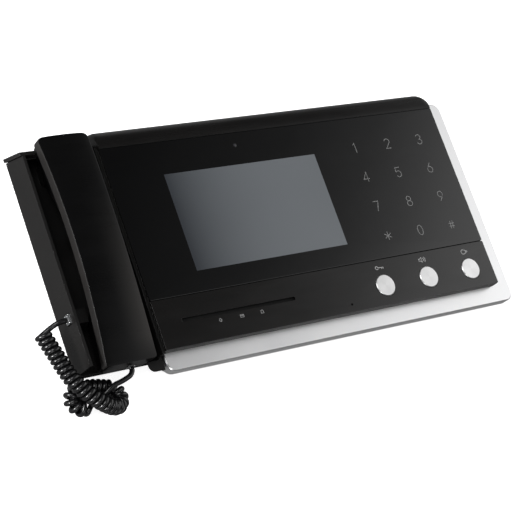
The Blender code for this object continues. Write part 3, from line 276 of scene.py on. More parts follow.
def screen_glass(name):
    """Unlit LCD under the glass: blue-grey, with fine pixel columns and a painted fall of light,
    dark at the left and lighter to the right.
    """
    made = Shader(name)
    half = SCREEN_SIZE[0] / 2
    left_over = made.spread(made.place_parts()["X"], 1.0, 0.0, SCREEN_CENTRE[0] - half,
                            SCREEN_CENTRE[0] + half)
    # painted light: the colour rises fast from the left edge, then levels off
    across = made.math("SUBTRACT", 1.0, made.math("POWER", left_over, 3.0))
    drift = made.noise(7.0, 3.0, 0.5)
    shade = made.math("ADD", across, made.spread(drift, -0.04, 0.04))
    color = made.mix(shade, (0.045, 0.050, 0.058, 1.0), (0.197, 0.213, 0.229, 1.0))
    wave = made.add("ShaderNodeTexWave", wave_type="BANDS", bands_direction="X")
    made.link(made.place, wave.inputs["Vector"])
    wave.inputs["Scale"].default_value = PIXEL_WAVES
    color = made.mix(made.math("MULTIPLY", wave.outputs["Fac"], 0.06), color, grey(0.02))
    marks = made.noise(*FINGER_MARKS)
    return made.set(color=color, roughness=made.spread(marks, 0.05, 0.11), ior=ACRYLIC_IOR)


def blasted_aluminium(name, tone=0.88, roughness=0.34):
    """Anodised sheet: bead-blasted sparkle and a slow drift of tone."""
    made = Shader(name)
    fine = made.noise(3400.0, 2.0, 0.6)
    broad = made.noise(16.0, 4.0, 0.6)
    base = made.mix(made.spread(broad, 0.0, 1.0), (tone * 0.965, tone * 0.97, tone * 0.98, 1.0),
                    (tone * 1.03, tone * 1.03, tone * 1.035, 1.0))
    color = made.mix(made.math("MULTIPLY", made.spread(fine, 0.0, 1.0, 0.35, 0.75), 0.12), base,
                     grey(tone * 0.72))
    rough = made.math("ADD", made.spread(broad, roughness - 0.03, roughness + 0.03),
                      made.spread(fine, -0.03, 0.03))
    made.bump(fine, 0.22, GRAIN_DEPTH)
    return made.set(color=color, roughness=rough, metallic=1.0)


def spun_aluminium(name, centre):
    """Machined button face: fine rings round its own centre, and a painted highlight that fans out
    round it as on a disc.
    """
    made = Shader(name)
    offset = made.add("ShaderNodeVectorMath", operation="SUBTRACT")
    made.link(made.place, offset.inputs[0])
    offset.inputs[1].default_value = (centre[0], centre[1], 0.0)
    flat = made.add("ShaderNodeVectorMath", operation="MULTIPLY")
    made.link(offset.outputs[0], flat.inputs[0])
    flat.inputs[1].default_value = (1.0, 1.0, 0.0)
    length = made.add("ShaderNodeVectorMath", operation="LENGTH")
    made.link(flat.outputs[0], length.inputs[0])
    ring_place = made.add("ShaderNodeCombineXYZ")
    made.link(length.outputs["Value"], ring_place.inputs[0])
    rings = made.noise(5200.0, 2.0, 0.7, place=ring_place.outputs[0])
    broad = made.noise(90.0, 3.0, 0.6)
    parts = made.add("ShaderNodeSeparateXYZ")
    made.link(flat.outputs[0], parts.inputs[0])
    angle = made.math("ARCTAN2", parts.outputs["Y"], parts.outputs["X"])
    # painted highlight: the tone rises and falls twice round the centre
    painted_fan = made.math("SINE", made.math("ADD", made.math("MULTIPLY", angle, 2.0), 0.7))
    tone = made.math("ADD", made.math("MULTIPLY", painted_fan, 0.035), made.spread(rings, 0.75, 0.84))
    color = made.add("ShaderNodeCombineColor")
    for channel in range(3):
        made.link(tone, color.inputs[channel])
    made.bump(rings, 0.12, GRAIN_DEPTH)
    return made.set(color=color.outputs[0], roughness=made.spread(broad, 0.30, 0.38),
                    metallic=1.0)


def plated_steel(name):
    """Tinned sheet: rolling lines, with duller warm spots."""
    made = Shader(name)
    tone = 0.55
    lines = made.noise(420.0, 4.0, 0.6, (1.0, 12.0, 1.0))
    spots = made.noise(60.0, 4.0, 0.6)
    color = made.mix(made.spread(lines, 0.0, 1.0), grey(tone * 0.85), grey(tone * 1.1))
    color = made.mix(made.math("MULTIPLY", made.spread(spots, 0.0, 1.0, 0.55, 0.8), 0.25), color,
                     (tone * 0.62, tone * 0.58, tone * 0.52, 1.0))
    made.bump(lines, 0.08, GRAIN_DEPTH)
    return made.set(color=color, roughness=made.spread(spots, 0.24, 0.40), metallic=1.0)


def board_green(name):
    """Solder mask over copper tracks, with a fine weave showing through."""
    made = Shader(name)
    tracks = made.add("ShaderNodeTexBrick")
    made.link(made.place, tracks.inputs["Vector"])
    tracks.inputs["Scale"].default_value = 210.0
    tracks.inputs["Mortar Size"].default_value = 0.05
    tracks.inputs["Color1"].default_value = (0.008, 0.06, 0.022, 1.0)
    tracks.inputs["Color2"].default_value = (0.010, 0.075, 0.028, 1.0)
    tracks.inputs["Mortar"].default_value = (0.018, 0.15, 0.055, 1.0)
    weave = made.noise(1500.0, 2.0, 0.5)
    color = made.mix(made.spread(weave, 0.0, 0.35), tracks.outputs["Color"],
                     (0.02, 0.09, 0.03, 1.0))
    made.bump(tracks.outputs["Fac"], 0.15, SOFT_GRAIN_DEPTH)
    return made.set(color=color, roughness=made.spread(weave, 0.28, 0.42), coat=0.3)


def soft_rubber(name):
    """Matt rubber with dust caught in its grain."""
    made = Shader(name)
    fine = made.noise(1400.0, 4.0, 0.6)
    dust = made.noise(70.0, 5.0, 0.65)
    color = made.mix(made.spread(dust, 0.0, 1.0, 0.45, 0.75), grey(0.018), grey(0.0396))
    made.bump(fine, 0.2, 0.05 * MM)
    return made.set(color=color, roughness=made.spread(dust, 0.56, 0.72))


def cord_plastic(name):
    """Glossy soft PVC with a slight ripple from extrusion."""
    made = Shader(name)
    ripple = made.noise(260.0, 3.0, 0.5)
    fine = made.noise(1800.0, 3.0, 0.6)
    color = made.mix(made.spread(ripple, 0.0, 1.0), (0.0026, 0.0026, 0.0030, 1.0),
                     (0.0045, 0.0045, 0.0052, 1.0))
    made.bump(fine, 0.06, SOFT_GRAIN_DEPTH)
    return made.set(color=color, roughness=made.spread(ripple, 0.21, 0.28))


def clear_polycarbonate(name, tint):
    """Clear moulding with faint flow lines."""
    made = Shader(name)
    flow = made.noise(300.0, 3.0, 0.6, (1.0, 4.0, 1.0))
    color = made.mix(made.spread(flow, 0.0, 1.0), tint, (0.93, 0.94, 0.95, 1.0))
    made.bump(flow, 0.05, 0.05 * MM)
    return made.set(color=color, roughness=made.spread(flow, 0.05, 0.14), transmission=0.85,
                    ior=POLYCARBONATE_IOR)


def printed_ink(name, tone):
    """Grey screen print with fine specks."""
    made = Shader(name)
    speck = made.noise(1600.0, 3.0, 0.6)
    color = made.mix(made.spread(speck, 0.0, 1.0), grey(tone * 0.85), grey(tone * 1.12))
    return made.set(color=color, roughness=made.spread(speck, 0.35, 0.5))


def tinted_plastic(name, color_low, color_high, roughness=0.45):
    """Coloured moulding that drifts between two shades."""
    made = Shader(name)
    fine = made.noise(1500.0, 3.0, 0.6)
    broad = made.noise(40.0, 4.0, 0.6)
    color = made.mix(made.spread(broad, 0.0, 1.0), (*color_low, 1.0), (*color_high, 1.0))
    made.bump(fine, 0.12, SOFT_GRAIN_DEPTH)
    return made.set(color=color, roughness=made.spread(fine, roughness - 0.06, roughness + 0.06))


def woven_mesh(name):
    """Black speaker cloth over punched steel: dark cells between fine threads."""
    made = Shader(name)
    cells = made.add("ShaderNodeTexVoronoi", feature="F1", distance="CHEBYCHEV")
    made.link(made.place, cells.inputs["Vector"])
    cells.inputs["Scale"].default_value = 1500.0
    cells.inputs["Randomness"].default_value = 0.12
    color = made.mix(made.spread(cells.outputs["Distance"], 0.0, 1.0, 0.2, 0.45), grey(0.001),
                     grey(0.004))
    made.bump(cells.outputs["Distance"], 0.4, 0.1 * MM)
    return made.set(color=color, roughness=0.7, specular=0.15)


def lens_finish(name):
    """Dark coated lens with a painted blue-violet reflection, soft and lighter at its middle."""
    made = Shader(name)
    offset = made.add("ShaderNodeVectorMath", operation="DISTANCE")
    made.link(made.place, offset.inputs[0])
    offset.inputs[1].default_value = (*CAMERA_POINT, GLASS_TOP)
    middle = made.spread(offset.outputs["Value"], 1.0, 0.0, 0.2 * MM, CAMERA_RADIUS * LENS_FLAT)
    speck = made.noise(900.0, 2.0, 0.5)
    # painted reflection: lighter and tinted towards the middle
    color = made.mix(middle, grey(0.006), (0.045, 0.042, 0.05, 1.0))
    return made.set(color=color, roughness=made.spread(speck, 0.03, 0.09), ior=LENS_IOR)


# ------------------------------------------------------------------ mesh helpers
def new_piece(name, bm, finish, smooth_angle=None):
    """A new object from bm.  With a smooth_angle, only edges sharper than it stay sharp."""
    mesh = bpy.data.meshes.new(name)
    bmesh.ops.recalc_face_normals(bm, faces=bm.faces)
    bm.to_mesh(mesh)
    bm.free()
    if smooth_angle:
        mesh.shade_smooth()
        mesh.set_sharp_from_angle(angle=math.radians(smooth_angle))
    made = bpy.data.objects.new(name, mesh)
    bpy.context.scene.collection.objects.link(made)
    mesh.materials.append(finish)
    return made


def flat_normals(piece):
    """Large flat faces keep their own normal, so that only the rounded edges catch a gradient."""
    weighted = piece.modifiers.new("normals", "WEIGHTED_NORMAL")
    weighted.mode = "FACE_AREA"
    weighted.weight = 100
    weighted.thresh = 0.01
    weighted.keep_sharp = True


def round_modifiers(piece, width):
    """Welds the imported facets together and rounds the sharp edges of a piece."""
    weld = piece.modifiers.new("weld", "WELD")
    weld.merge_threshold = WELD_REACH
    bevel = piece.modifiers.new("edges", "BEVEL")
    bevel.width = width
    bevel.segments = BEVEL_SEGMENTS
    bevel.limit_method = "ANGLE"
    bevel.angle_limit = math.radians(BEVEL_ANGLE)
    bevel.use_clamp_overlap = True
    bevel.miter_outer = "MITER_ARC"
    flat_normals(piece)
    return bevel


def bridge(bm, first, second):
    """Joins two rings of vertices with a band of faces."""
    count = len(first)
    for index in range(count):
        after = (index + 1) % count
        bm.faces.new((first[index], first[after], second[after], second[index]))


def tube(bm, points, radius, sides):
    """Adds a closed round tube along points."""
    rings = []
    side = (points[1] - points[0]).orthogonal().normalized()
    for index, point in enumerate(points):
        ahead = points[min(index + 1, len(points) - 1)] - points[max(index - 1, 0)]
        ahead.normalize()
        side = (side - ahead * side.dot(ahead)).normalized()
        other = ahead.cross(side)
        turns = [math.tau * step / sides for step in range(sides)]
        rings.append([bm.verts.new(point + (side * math.cos(a) + other * math.sin(a)) * radius)
                      for a in turns])
    for low, high in zip(rings, rings[1:]):
        bridge(bm, low, high)
    bm.faces.new(rings[0][::-1])
    bm.faces.new(rings[-1])


def smooth_course(knots, per_span):
    """Points of a Catmull-Rom curve through the knots."""
    knots = [Vector(knot) for knot in knots]
    knots = [2 * knots[0] - knots[1]] + knots + [2 * knots[-1] - knots[-2]]
    course = []
    for p0, p1, p2, p3 in zip(knots, knots[1:], knots[2:], knots[3:]):
        for step in range(per_span):
            t = step / per_span
            course.append(0.5 * (2 * p1 + (p2 - p0) * t + (2 * p0 - 5 * p1 + 4 * p2 - p3) * t ** 2
                                 + (3 * p1 - p0 - 3 * p2 + p3) * t ** 3))
    course.append(knots[-2])
    return course


def even_course(points, count):
    """The same curve cut into count equal steps."""
    lengths = [0.0]
    for a, b in zip(points, points[1:]):
        lengths.append(lengths[-1] + (b - a).length)
    spots = []
    index = 0
    for step in range(count + 1):
        want = lengths[-1] * step / count
        while index < len(points) - 2 and lengths[index + 1] < want:
            index += 1
        span = max(lengths[index + 1] - lengths[index], 1e-9)
        spots.append(points[index].lerp(points[index + 1], (want - lengths[index]) / span))
    return spots


def rounded_rectangle(centre, size, radius):
    """Outline of a rectangle with round corners, counter-clockwise."""
    x0, x1 = centre[0] - size[0] / 2, centre[0] + size[0] / 2
    y0, y1 = centre[1] - size[1] / 2, centre[1] + size[1] / 2
    corners = ((x1 - radius, y1 - radius, 0), (x0 + radius, y1 - radius, 90),
               (x0 + radius, y0 + radius, 180), (x1 - radius, y0 + radius, 270))
    points = []
    for cx, cy, start in corners:
        for step in range(CORNER_STEPS + 1):
            angle = math.radians(start + 90.0 * step / CORNER_STEPS)
            points.append((cx + radius * math.cos(angle), cy + radius * math.sin(angle)))
    return points


def stroke(bm, path, width, height):
    """Adds a flat ribbon with square sides that follows a 2-D path, sunk a little in the front."""
    points = [Vector((*point, 0.0)) for point in path]
    count = len(points)
    rows = []
    low_z = GLASS_TOP - PRINT_DEPTH
    high_z = low_z + height
    for index, point in enumerate(points):
        before, after = points[max(index - 1, 0)], points[min(index + 1, count - 1)]
        first, second = (point - before), (after - point)
        first = first.normalized() if first.length > 1e-9 else second.normalized()
        second = second.normalized() if second.length > 1e-9 else first
        along = (first + second).normalized()
        normal = Vector((-along.y, along.x, 0.0))
        reach = width / 2 / max(normal.dot(Vector((-first.y, first.x, 0.0))), 0.5)
        rows.append([bm.verts.new(point + normal * side * reach + Vector((0, 0, level)))
                     for side, level in ((1, low_z), (-1, low_z), (-1, high_z), (1, high_z))])
    for low, high in zip(rows, rows[1:]):
        bridge(bm, low, high)
    bm.faces.new(rows[0][::-1])
    bm.faces.new(rows[-1])


def arc(cx, cy, rx, ry, start, stop, steps):
    """Points of an arc of an ellipse, its angles in degrees."""
    return [(cx + rx * math.cos(math.radians(start + (stop - start) * n / steps)),
             cy + ry * math.sin(math.radians(start + (stop - start) * n / steps)))
            for n in range(steps + 1)]


# ------------------------------------------------------------------ handset cord
def coil_points():
    """Middle line of the wire: the lead from the line plug, the coil, and the handset's tail."""
    def in_metres(knots):
        return [Vector(knot) * MM for knot in knots]

    dense = smooth_course(in_metres(COIL_COURSE), COURSE_STEPS)
    total = sum((b - a).length for a, b in zip(dense, dense[1:]))
    turns = round(total / COIL_PITCH) + 0.5     # so the coil starts below and ends on top
    spots = even_course(dense, int(turns * TURN_STEPS))
    side = Vector((0.0, 0.0, -1.0))
    coil = []
    for index, spot in enumerate(spots):
        ahead = (spots[min(index + 1, len(spots) - 1)] - spots[max(index - 1, 0)]).normalized()
        side = (side - ahead * side.dot(ahead)).normalized()
        other = ahead.cross(side)
        angle = -math.tau * index / TURN_STEPS
        coil.append(spot + (side * math.cos(angle) + other * math.sin(angle)) * COIL_RADIUS)
    start_way = (coil[1] - coil[0]).normalized()
    end_way = (coil[-1] - coil[-2]).normalized()
    lead = smooth_course(in_metres((LINE_END, *LEAD_COURSE))
                         + [coil[0], coil[0] + start_way * JOIN_REACH], END_STEPS)[:-END_STEPS]
    tail = smooth_course([coil[-1] - end_way * JOIN_REACH, coil[-1]]
                         + in_metres((*TAIL_COURSE, HANDSET_END)), END_STEPS)[END_STEPS:]
    return lead, coil, tail


def make_cord():
    """The whole cord as one wire, which runs from the base to the handset."""
    lead, coil, tail = coil_points()
    points = lead[:-1] + coil + tail[1:]
    bm = bmesh.new()
    tube(bm, points, WIRE_RADIUS, WIRE_SIDES)
    cord = new_piece("handset_cord", bm, cord_plastic("cord_pvc"), 60.0)
    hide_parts("coil_cord")
    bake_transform(cord)
    # for each ring of the wire, a share that grows smoothly along the coil from the lead to the
    # tail
    first, last = len(lead) - 1, len(lead) + len(coil) - 2
    weights = []
    for index in range(len(points)):
        share = min(max((index - first) / (last - first), 0.0), 1.0)
        weights += [share * share * (3.0 - 2.0 * share)] * WIRE_SIDES


# ------------------------------------------------------------------ glass front
def make_glass():
    """The glass with its screen window, the screen flush in it, and the camera's lens."""
    low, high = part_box("touch_glass")
    edge = GLASS_EDGE
    bm = bmesh.new()

    def ring(inset, z, centre, size, radius):
        outline = rounded_rectangle(centre, (size[0] - 2 * inset, size[1] - 2 * inset), radius)
        return [bm.verts.new((x, y, z)) for x, y in outline]

    centre = ((low.x + high.x) / 2, (low.y + high.y) / 2)
    size = (high.x - low.x, high.y - low.y)
    outer_back = ring(0.0, low.z, centre, size, GLASS_CORNERS[0])
    outer_low = ring(0.0, high.z - edge, centre, size, GLASS_CORNERS[0])
    outer_mid = ring(edge * 0.3, high.z - edge * 0.3, centre, size, GLASS_CORNERS[1])
    outer_top = ring(edge, high.z, centre, size, GLASS_CORNERS[2])
    window_top = ring(0.0, high.z, SCREEN_CENTRE, SCREEN_SIZE, SCREEN_CORNER)
    window_back = ring(0.0, low.z, SCREEN_CENTRE, SCREEN_SIZE, SCREEN_CORNER)
    for first, second in ((outer_back, outer_low), (outer_low, outer_mid), (outer_mid, outer_top),
                          (outer_top, window_top), (window_top, window_back),
                          (window_back, outer_back)):
        bridge(bm, first, second)
    glass = new_piece("glass_front", bm, black_glass("glass_print_black"), 40.0)
    flat_normals(glass)
    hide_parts("touch_glass")
    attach(glass, "base")

    bm = bmesh.new()
    outline = rounded_rectangle(SCREEN_CENTRE, SCREEN_SIZE, SCREEN_CORNER)
    rings = [[bm.verts.new((x, y, z)) for x, y in outline] for z in (low.z, high.z)]
    bridge(bm, *rings)
    bm.faces.new(rings[0][::-1])
    bm.faces.new(rings[1])
    screen = new_piece("screen_face", bm, screen_glass("screen_grey"), 25.0)
    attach(screen, "base")

    bm = bmesh.new()
    turns = [math.tau * n / LENS_SIDES for n in range(LENS_SIDES)]
    lens_rings = [[bm.verts.new((CAMERA_POINT[0] + r * math.cos(a),
                                 CAMERA_POINT[1] + r * math.sin(a), z)) for a in turns]
                  for r, z in ((CAMERA_RADIUS, low.z + LENS_BACK),
                               (CAMERA_RADIUS, high.z),
                               (CAMERA_RADIUS * LENS_FLAT, high.z + PRINT_RISE))]
    for first, second in zip(lens_rings, lens_rings[1:]):
        bridge(bm, first, second)
    bm.faces.new(lens_rings[0][::-1])
    bm.faces.new(lens_rings[-1])
    lens = new_piece("camera_eye", bm, lens_finish("camera_lens"), 25.0)
    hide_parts("camera_window")
    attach(lens, "base")


# ------------------------------------------------------------------ keypad marks
def digit_paths():
    """Strokes of each key's mark on a unit cell: x from -0.5 to 0.5 and y from -0.5 to 0.5."""
    w = 0.30
    return {
        "1": [[(-0.16, 0.30), (0.04, 0.5), (0.04, -0.5)]],
        "2": [arc(0.0, 0.22, w, 0.28, 165, -32, 14) + [(-w, -0.5), (w, -0.5)]],
        "3": [arc(0.0, 0.25, 0.26, 0.25, 160, -90, 14), arc(0.0, -0.24, w, 0.26, 90, -160, 14)],
        "4": [[(0.16, -0.5), (0.16, 0.5), (-0.32, -0.22), (0.34, -0.22)]],
        "5": [[(0.26, 0.5), (-0.22, 0.5), (-0.27, 0.06)] + arc(0.0, -0.18, w, 0.32, 118, -150, 16)],
        "6": [[(0.16, 0.5), (-0.2, 0.02)] + arc(0.0, -0.2, w, 0.3, 140, -220, 24)],
        "7": [[(-w, 0.5), (w, 0.5), (-0.06, -0.5)]],
        "8": [arc(0.0, 0.26, 0.25, 0.24, -90, 270, 22), arc(0.0, -0.24, w, 0.26, 90, 450, 24)],
        "9": [arc(0.0, 0.2, w, 0.3, -40, 320, 24) + [(0.2, -0.02), (-0.16, -0.5)]],
        "0": [arc(0.0, 0.0, w, 0.5, 90, 450, 30)],
        "star": [[(0.0, 0.42), (0.0, -0.42)], [(-0.38, 0.21), (0.38, -0.21)],
                 [(-0.38, -0.21), (0.38, 0.21)]],
        "hash": [[(-0.1, 0.4), (-0.18, -0.4)], [(0.18, 0.4), (0.1, -0.4)],
                 [(-0.32, 0.14), (0.32, 0.14)], [(-0.32, -0.14), (0.32, -0.14)]],
    }


def make_keypad():
    """Twelve printed marks of the touch keys.  Crossing strokes differ a little in height."""
    layout = (("1", "2", "3"), ("4", "5", "6"), ("7", "8", "9"), ("star", "0", "hash"))
    paths = digit_paths()
    ink = printed_ink("keypad_ink", KEYPAD_TONE)
    for row, names in zip(KEY_ROWS, layout):
        for column, label in zip(KEY_COLUMNS, names):
            bm = bmesh.new()
            for level, path in enumerate(paths[label]):
                spots = [(column + x * DIGIT_HEIGHT, row + y * DIGIT_HEIGHT) for x, y in path]
                stroke(bm, spots, DIGIT_STROKE, PRINT_DEPTH + PRINT_RISE * (1 + 0.2 * level))
            mark = new_piece("key_mark_" + label, bm, ink)
            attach(mark, "base")


def make_fascia_marks():
    """Small plain marks: key, sound and lamp over the buttons, and three status outlines."""
    ink = printed_ink("fascia_ink", FASCIA_TONE)
    dim = printed_ink("status_ink", STATUS_TONE)

    def marks(name, paths, place, finish, width):
        bm = bmesh.new()
        for level, path in enumerate(paths):
            stroke(bm, [(place[0] + x * MM, place[1] + y * MM) for x, y in path], width,
                   PRINT_DEPTH + PRINT_RISE + level * 0.1 * PRINT_RISE)
        piece = new_piece(name, bm, finish)
        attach(piece, "base")

    key = [arc(-2.6, 0.0, 1.4, 1.4, 0, 330, 16),
           [(-1.2, 0.0), (4.2, 0.0), (4.2, -1.4)],
           [(2.4, 0.0), (2.4, -1.2)]]
    sound = [[(-4.0, -0.9), (-2.6, -0.9), (-0.8, -2.2), (-0.8, 2.2), (-2.6, 0.9), (-4.0, 0.9),
              (-4.0, -0.9)],
             arc(-0.4, 0.0, 1.8, 1.9, -50, 50, 10),
             arc(-0.4, 0.0, 3.4, 3.1, -46, 46, 12)]
    lamp = [arc(-1.4, 0.0, 1.9, 2.1, 60, 300, 16),
            [(-0.4, 1.8), (1.6, 1.2), (1.6, -1.2), (-0.4, -1.8)],
            [(2.4, 1.0), (2.4, -1.0)],
            [(3.4, 0.8), (3.4, -0.8)]]
    bell = [[(-1.5, -1.1), (-1.1, -0.6), (-1.1, 0.5)] + arc(0, 0.5, 1.1, 1.1, 180, 0, 8)
            + [(1.1, -0.6), (1.5, -1.1), (-1.5, -1.1)]]
    letter = [[(-1.7, -1.1), (1.7, -1.1), (1.7, 1.1), (-1.7, 1.1), (-1.7, -1.1)],
              [(-1.7, 1.1), (0.0, -0.2), (1.7, 1.1)]]
    link = [[(0.0, 1.5), (1.2, 0.0), (0.0, -1.5), (-1.2, 0.0), (0.0, 1.5)]]
    for name, paths, x, width in (("mark_key", key, BUTTON_X[0], KEY_MARK_STROKE),
                                  ("mark_sound", sound, BUTTON_X[1], BUTTON_MARK_STROKE),
                                  ("mark_lamp", lamp, BUTTON_X[2], BUTTON_MARK_STROKE)):
        marks(name, paths, (x, BUTTON_MARK_Y), ink, width)
    for name, paths, x in (("status_bell", bell, STATUS_X[2]),
                           ("status_letter", letter, STATUS_X[1]),
                           ("status_link", link, STATUS_X[0])):
        marks(name, paths, (x, STATUS_Y), dim, STATUS_STROKE)


# ------------------------------------------------------------------ finish of the CAD nodes
def paint(name, finish, rounding, edge=None):
    """Gives a CAD node its finish, rounds its edges, and lays the edge finish on the rounding."""
    node = NODES[name]
    node.data.materials.clear()
    node.data.materials.append(finish)
    for face in node.data.polygons:
        face.use_smooth = True
        face.material_index = 0
    bevel = round_modifiers(node, rounding)
    if edge:
        node.data.materials.append(edge)
        bevel.material = 1


def paint_part(name, finish, wanted):
    """Gives another finish to the faces that wanted(way they face, middle) picks."""
    data = NODES[name].data
    data.materials.append(finish)
    for face in data.polygons:
        if wanted(face.normal, face.center):
            face.material_index = len(data.materials) - 1


def paint_shells():
    """The parts of the body and the handset that are seen from outside."""
    shell = moulded_black("housing_black", 0.0050, 0.24, 0.5, specular=0.26)
    fascia = moulded_black("fascia_black", 0.0050, 0.12, 0.25)
    cradle = moulded_black("cradle_black", 0.0045, 0.30, 1.0, specular=0.3)
    handset = handset_black_painted_sheen("handset_black")
    # the handset's left side: a lighter colour as painted light falling on that side, and a rougher
    # satin finish
    painted_lit_side = moulded_black("handset_side_painted_light", 0.012, 0.50, 1.2)
    # darker matt black: the line jack's own colour, and painted shade on the faces picked below
    inside = moulded_black("jack_black_and_painted_shade", 0.0025, 0.55, 1.0, specular=0.2)
    cover = moulded_black("cover_black", 0.010, 0.46, 1.6, 1700.0)
    # lighter colour for the rounded edges: a painted highlight along them
    painted_sheen = moulded_black("edge_black_painted_highlight", 0.010, 0.20, 0.3, specular=0.4)
    # darker, smoother aluminium on the plate's rounded edges: painted shade outlining them
    plate_edge_painted_shade = blasted_aluminium("aluminium_edge_painted_shade", 0.62, 0.24)
    for name, finish, rounding, edge in (
            ("front_housing", shell, 0.5 * MM, painted_sheen),
            ("button_fascia", fascia, 0.3 * MM, painted_sheen),
            ("trim_plate", blasted_aluminium("trim_aluminium"), 0.25 * MM, plate_edge_painted_shade),
            ("rear_cover", cover, 0.4 * MM, painted_sheen),
            ("cradle_tray", cradle, 0.35 * MM, painted_sheen),
            ("cradle_end_cap", cradle, 0.4 * MM, painted_sheen),
            ("handset_outer_shell", handset, 0.5 * MM, painted_sheen),
            ("handset_inner_shell", handset, 0.4 * MM, painted_sheen)):
        paint(name, finish, rounding, edge)
    for number in (1, 2, 3):
        paint("status_light_pipe_%d" % number, fascia, 0.1 * MM)
    paint("line_jack", inside, 0.15 * MM)

    def shaded_lower_or_end_face(way, spot):
        return way.y < -FACING_AWAY or way.x > FACING_AWAY

    def shaded_inside_of_wall(way, spot):
        return way.x > 0.5 or spot.x > CRADLE_OUTSIDE

    def shaded_inside_of_cap(way, spot):
        return way.y < -FACING_AWAY and spot.x > CRADLE_OUTSIDE

    def left_face(way, spot):
        return way.x < -FACING_AWAY

    # painted shade: a darker finish on the housing's lower and end faces, inside the cradle and on
    # the cap's inner face
    for name, finish, wanted in (("front_housing", inside, shaded_lower_or_end_face),
                                 ("button_fascia", inside, shaded_lower_or_end_face),
                                 ("cradle_tray", inside, shaded_inside_of_wall),
                                 ("cradle_end_cap", inside, shaded_inside_of_cap),
                                 ("handset_outer_shell", painted_lit_side, left_face)):
        paint_part(name, finish, wanted)


def paint_details():
    """Buttons, sockets and everything behind the front."""
    bright = plated_steel("tin_plate")
    board = board_green("board_green")
    rubber = soft_rubber("foot_rubber")
    dark = tinted_plastic("dark_nylon", (0.010, 0.010, 0.011), (0.018, 0.018, 0.019))
    green = tinted_plastic("terminal_green", (0.012, 0.15, 0.045), (0.02, 0.22, 0.07))
    cell = tinted_plastic("cell_grey", (0.05, 0.055, 0.06), (0.08, 0.085, 0.09), 0.2)
    for number in (1, 2, 3):
        low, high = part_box("button_%d" % number)
        middle = ((low.x + high.x) / 2, (low.y + high.y) / 2)
        paint("button_%d" % number, spun_aluminium("spun_aluminium_%d" % number, middle),
              0.25 * MM)
    for finish, rounding, names in (
            (dark, 0.15 * MM, ("tact_switch_1", "tact_switch_2", "tact_switch_3",
                               "switch_plunger_1", "switch_plunger_2", "switch_plunger_3",
                               "power_jack", "hook_plunger", "hook_microswitch",
                               "camera_module", "receiver_capsule", "panel_microphone")),
            (rubber, 0.3 * MM, ("rubber_foot_1", "rubber_foot_2", "rubber_foot_3",
                                "rubber_foot_4")),
            (bright, 0.2 * MM, ("cover_screw_1", "cover_screw_2", "cover_screw_3",
                                "cover_screw_4", "handset_screw_1", "handset_screw_2")),
            (bright, 0.15 * MM, ("ethernet_jack", "usb_port", "lcd_backlight_tray", "loudspeaker",
                                 "handset_weight", "handset_microphone", "hook_spring")),
            (board, 0.1 * MM, ("touch_keypad_board", "main_board", "button_board",
                               "status_board", "hook_board")),
            (blasted_aluminium("heatsink_aluminium", 0.5, 0.5), 0.15 * MM,
             ("processor_heatsink",)),
            (green, 0.15 * MM, ("terminal_block",)),
            (cell, 0.1 * MM, ("lcd_cell",)),
            (woven_mesh("speaker_cloth"), 0.1 * MM, ("speaker_mesh",)),
            (clear_polycarbonate("clear_plug", (0.42, 0.44, 0.46, 1.0)), 0.3 * MM,
             ("line_plug",)),
            (clear_polycarbonate("smoked_plug", (0.10, 0.10, 0.11, 1.0)), 0.3 * MM,
             ("handset_plug",))):
        for name in names:
            paint(name, finish, rounding)


# ------------------------------------------------------------------ studio
CAMERA_PLACE = (-0.82061, -0.36415, 1.14346)
CAMERA_RIGHT = (0.81763, -0.32511, 0.47516)
CAMERA_UP = (0.14254, 0.91392, 0.38004)
CAMERA_WAY = (0.55781, 0.24300, -0.79359)
CAMERA_LENS = 118.96
CAMERA_SENSOR = 36.0
CAMERA_CLIP = (0.05, 30.0)


def make_camera():
    """The studio camera at the photo's place, way and lens."""
    data = bpy.data.cameras.new("studio_camera")
    data.lens = CAMERA_LENS
    data.sensor_width = CAMERA_SENSOR
    data.clip_start, data.clip_end = CAMERA_CLIP
    camera = bpy.data.objects.new("studio_camera", data)
    bpy.context.scene.collection.objects.link(camera)
    rows = [(CAMERA_RIGHT[n], CAMERA_UP[n], -CAMERA_WAY[n], CAMERA_PLACE[n]) for n in range(3)]
    camera.matrix_world = Matrix((*rows, (0.0, 0.0, 0.0, 1.0)))
    bpy.context.scene.camera = camera


FLOOR_REACH = 6.0
FLOOR_SEEN_GLOW = 0.80
FLOOR_DIM_GLOW = 0.10
FLOOR_DIM_TONE = 0.20
FLOOR_SEEN_TONES = (0.90, 0.92)


def make_floor():
    """A pale floor that looks white to the camera and stays dim in reflections."""
    bm = bmesh.new()
    corners = [bm.verts.new((x * FLOOR_REACH, y * FLOOR_REACH, FLOOR_Z))
               for x, y in ((-1, -1), (1, -1), (1, 1), (-1, 1))]
    bm.faces.new(corners)
    made = Shader("studio_white")
    broad = made.noise(2.0, 2.0, 0.5)
    seen = made.add("ShaderNodeLightPath").outputs["Is Camera Ray"]
    pale = made.mix(made.spread(broad, 0.0, 1.0), *map(grey, FLOOR_SEEN_TONES))
    color = made.mix(seen, grey(FLOOR_DIM_TONE), pale)
    glow = made.spread(seen, FLOOR_DIM_GLOW, FLOOR_SEEN_GLOW, 0.0, 1.0)
    finish = made.set(color=color, roughness=0.9, specular=0.1, emission=grey(1.0), glow=glow)
    new_piece("studio_floor", bm, finish)


DOME_LEVEL = 0.12
GRADIENT_TILT = -0.25               # how far the gradient leans, as its slide for each step up
GRADIENT_SCALE = 1.25
GRADIENT = ((0.0, 0.20), (0.22, 0.05), (0.375, 0.05), (0.50, 0.19), (0.5625, 0.42), (0.60, 0.75),
            (0.6375, 1.25), (0.69, 1.62), (1.0, 1.65))
GRADIENT_EDGE = ((0.55, 0.0), (0.80, 1.0))  # cosines from the mirrored view, and its share


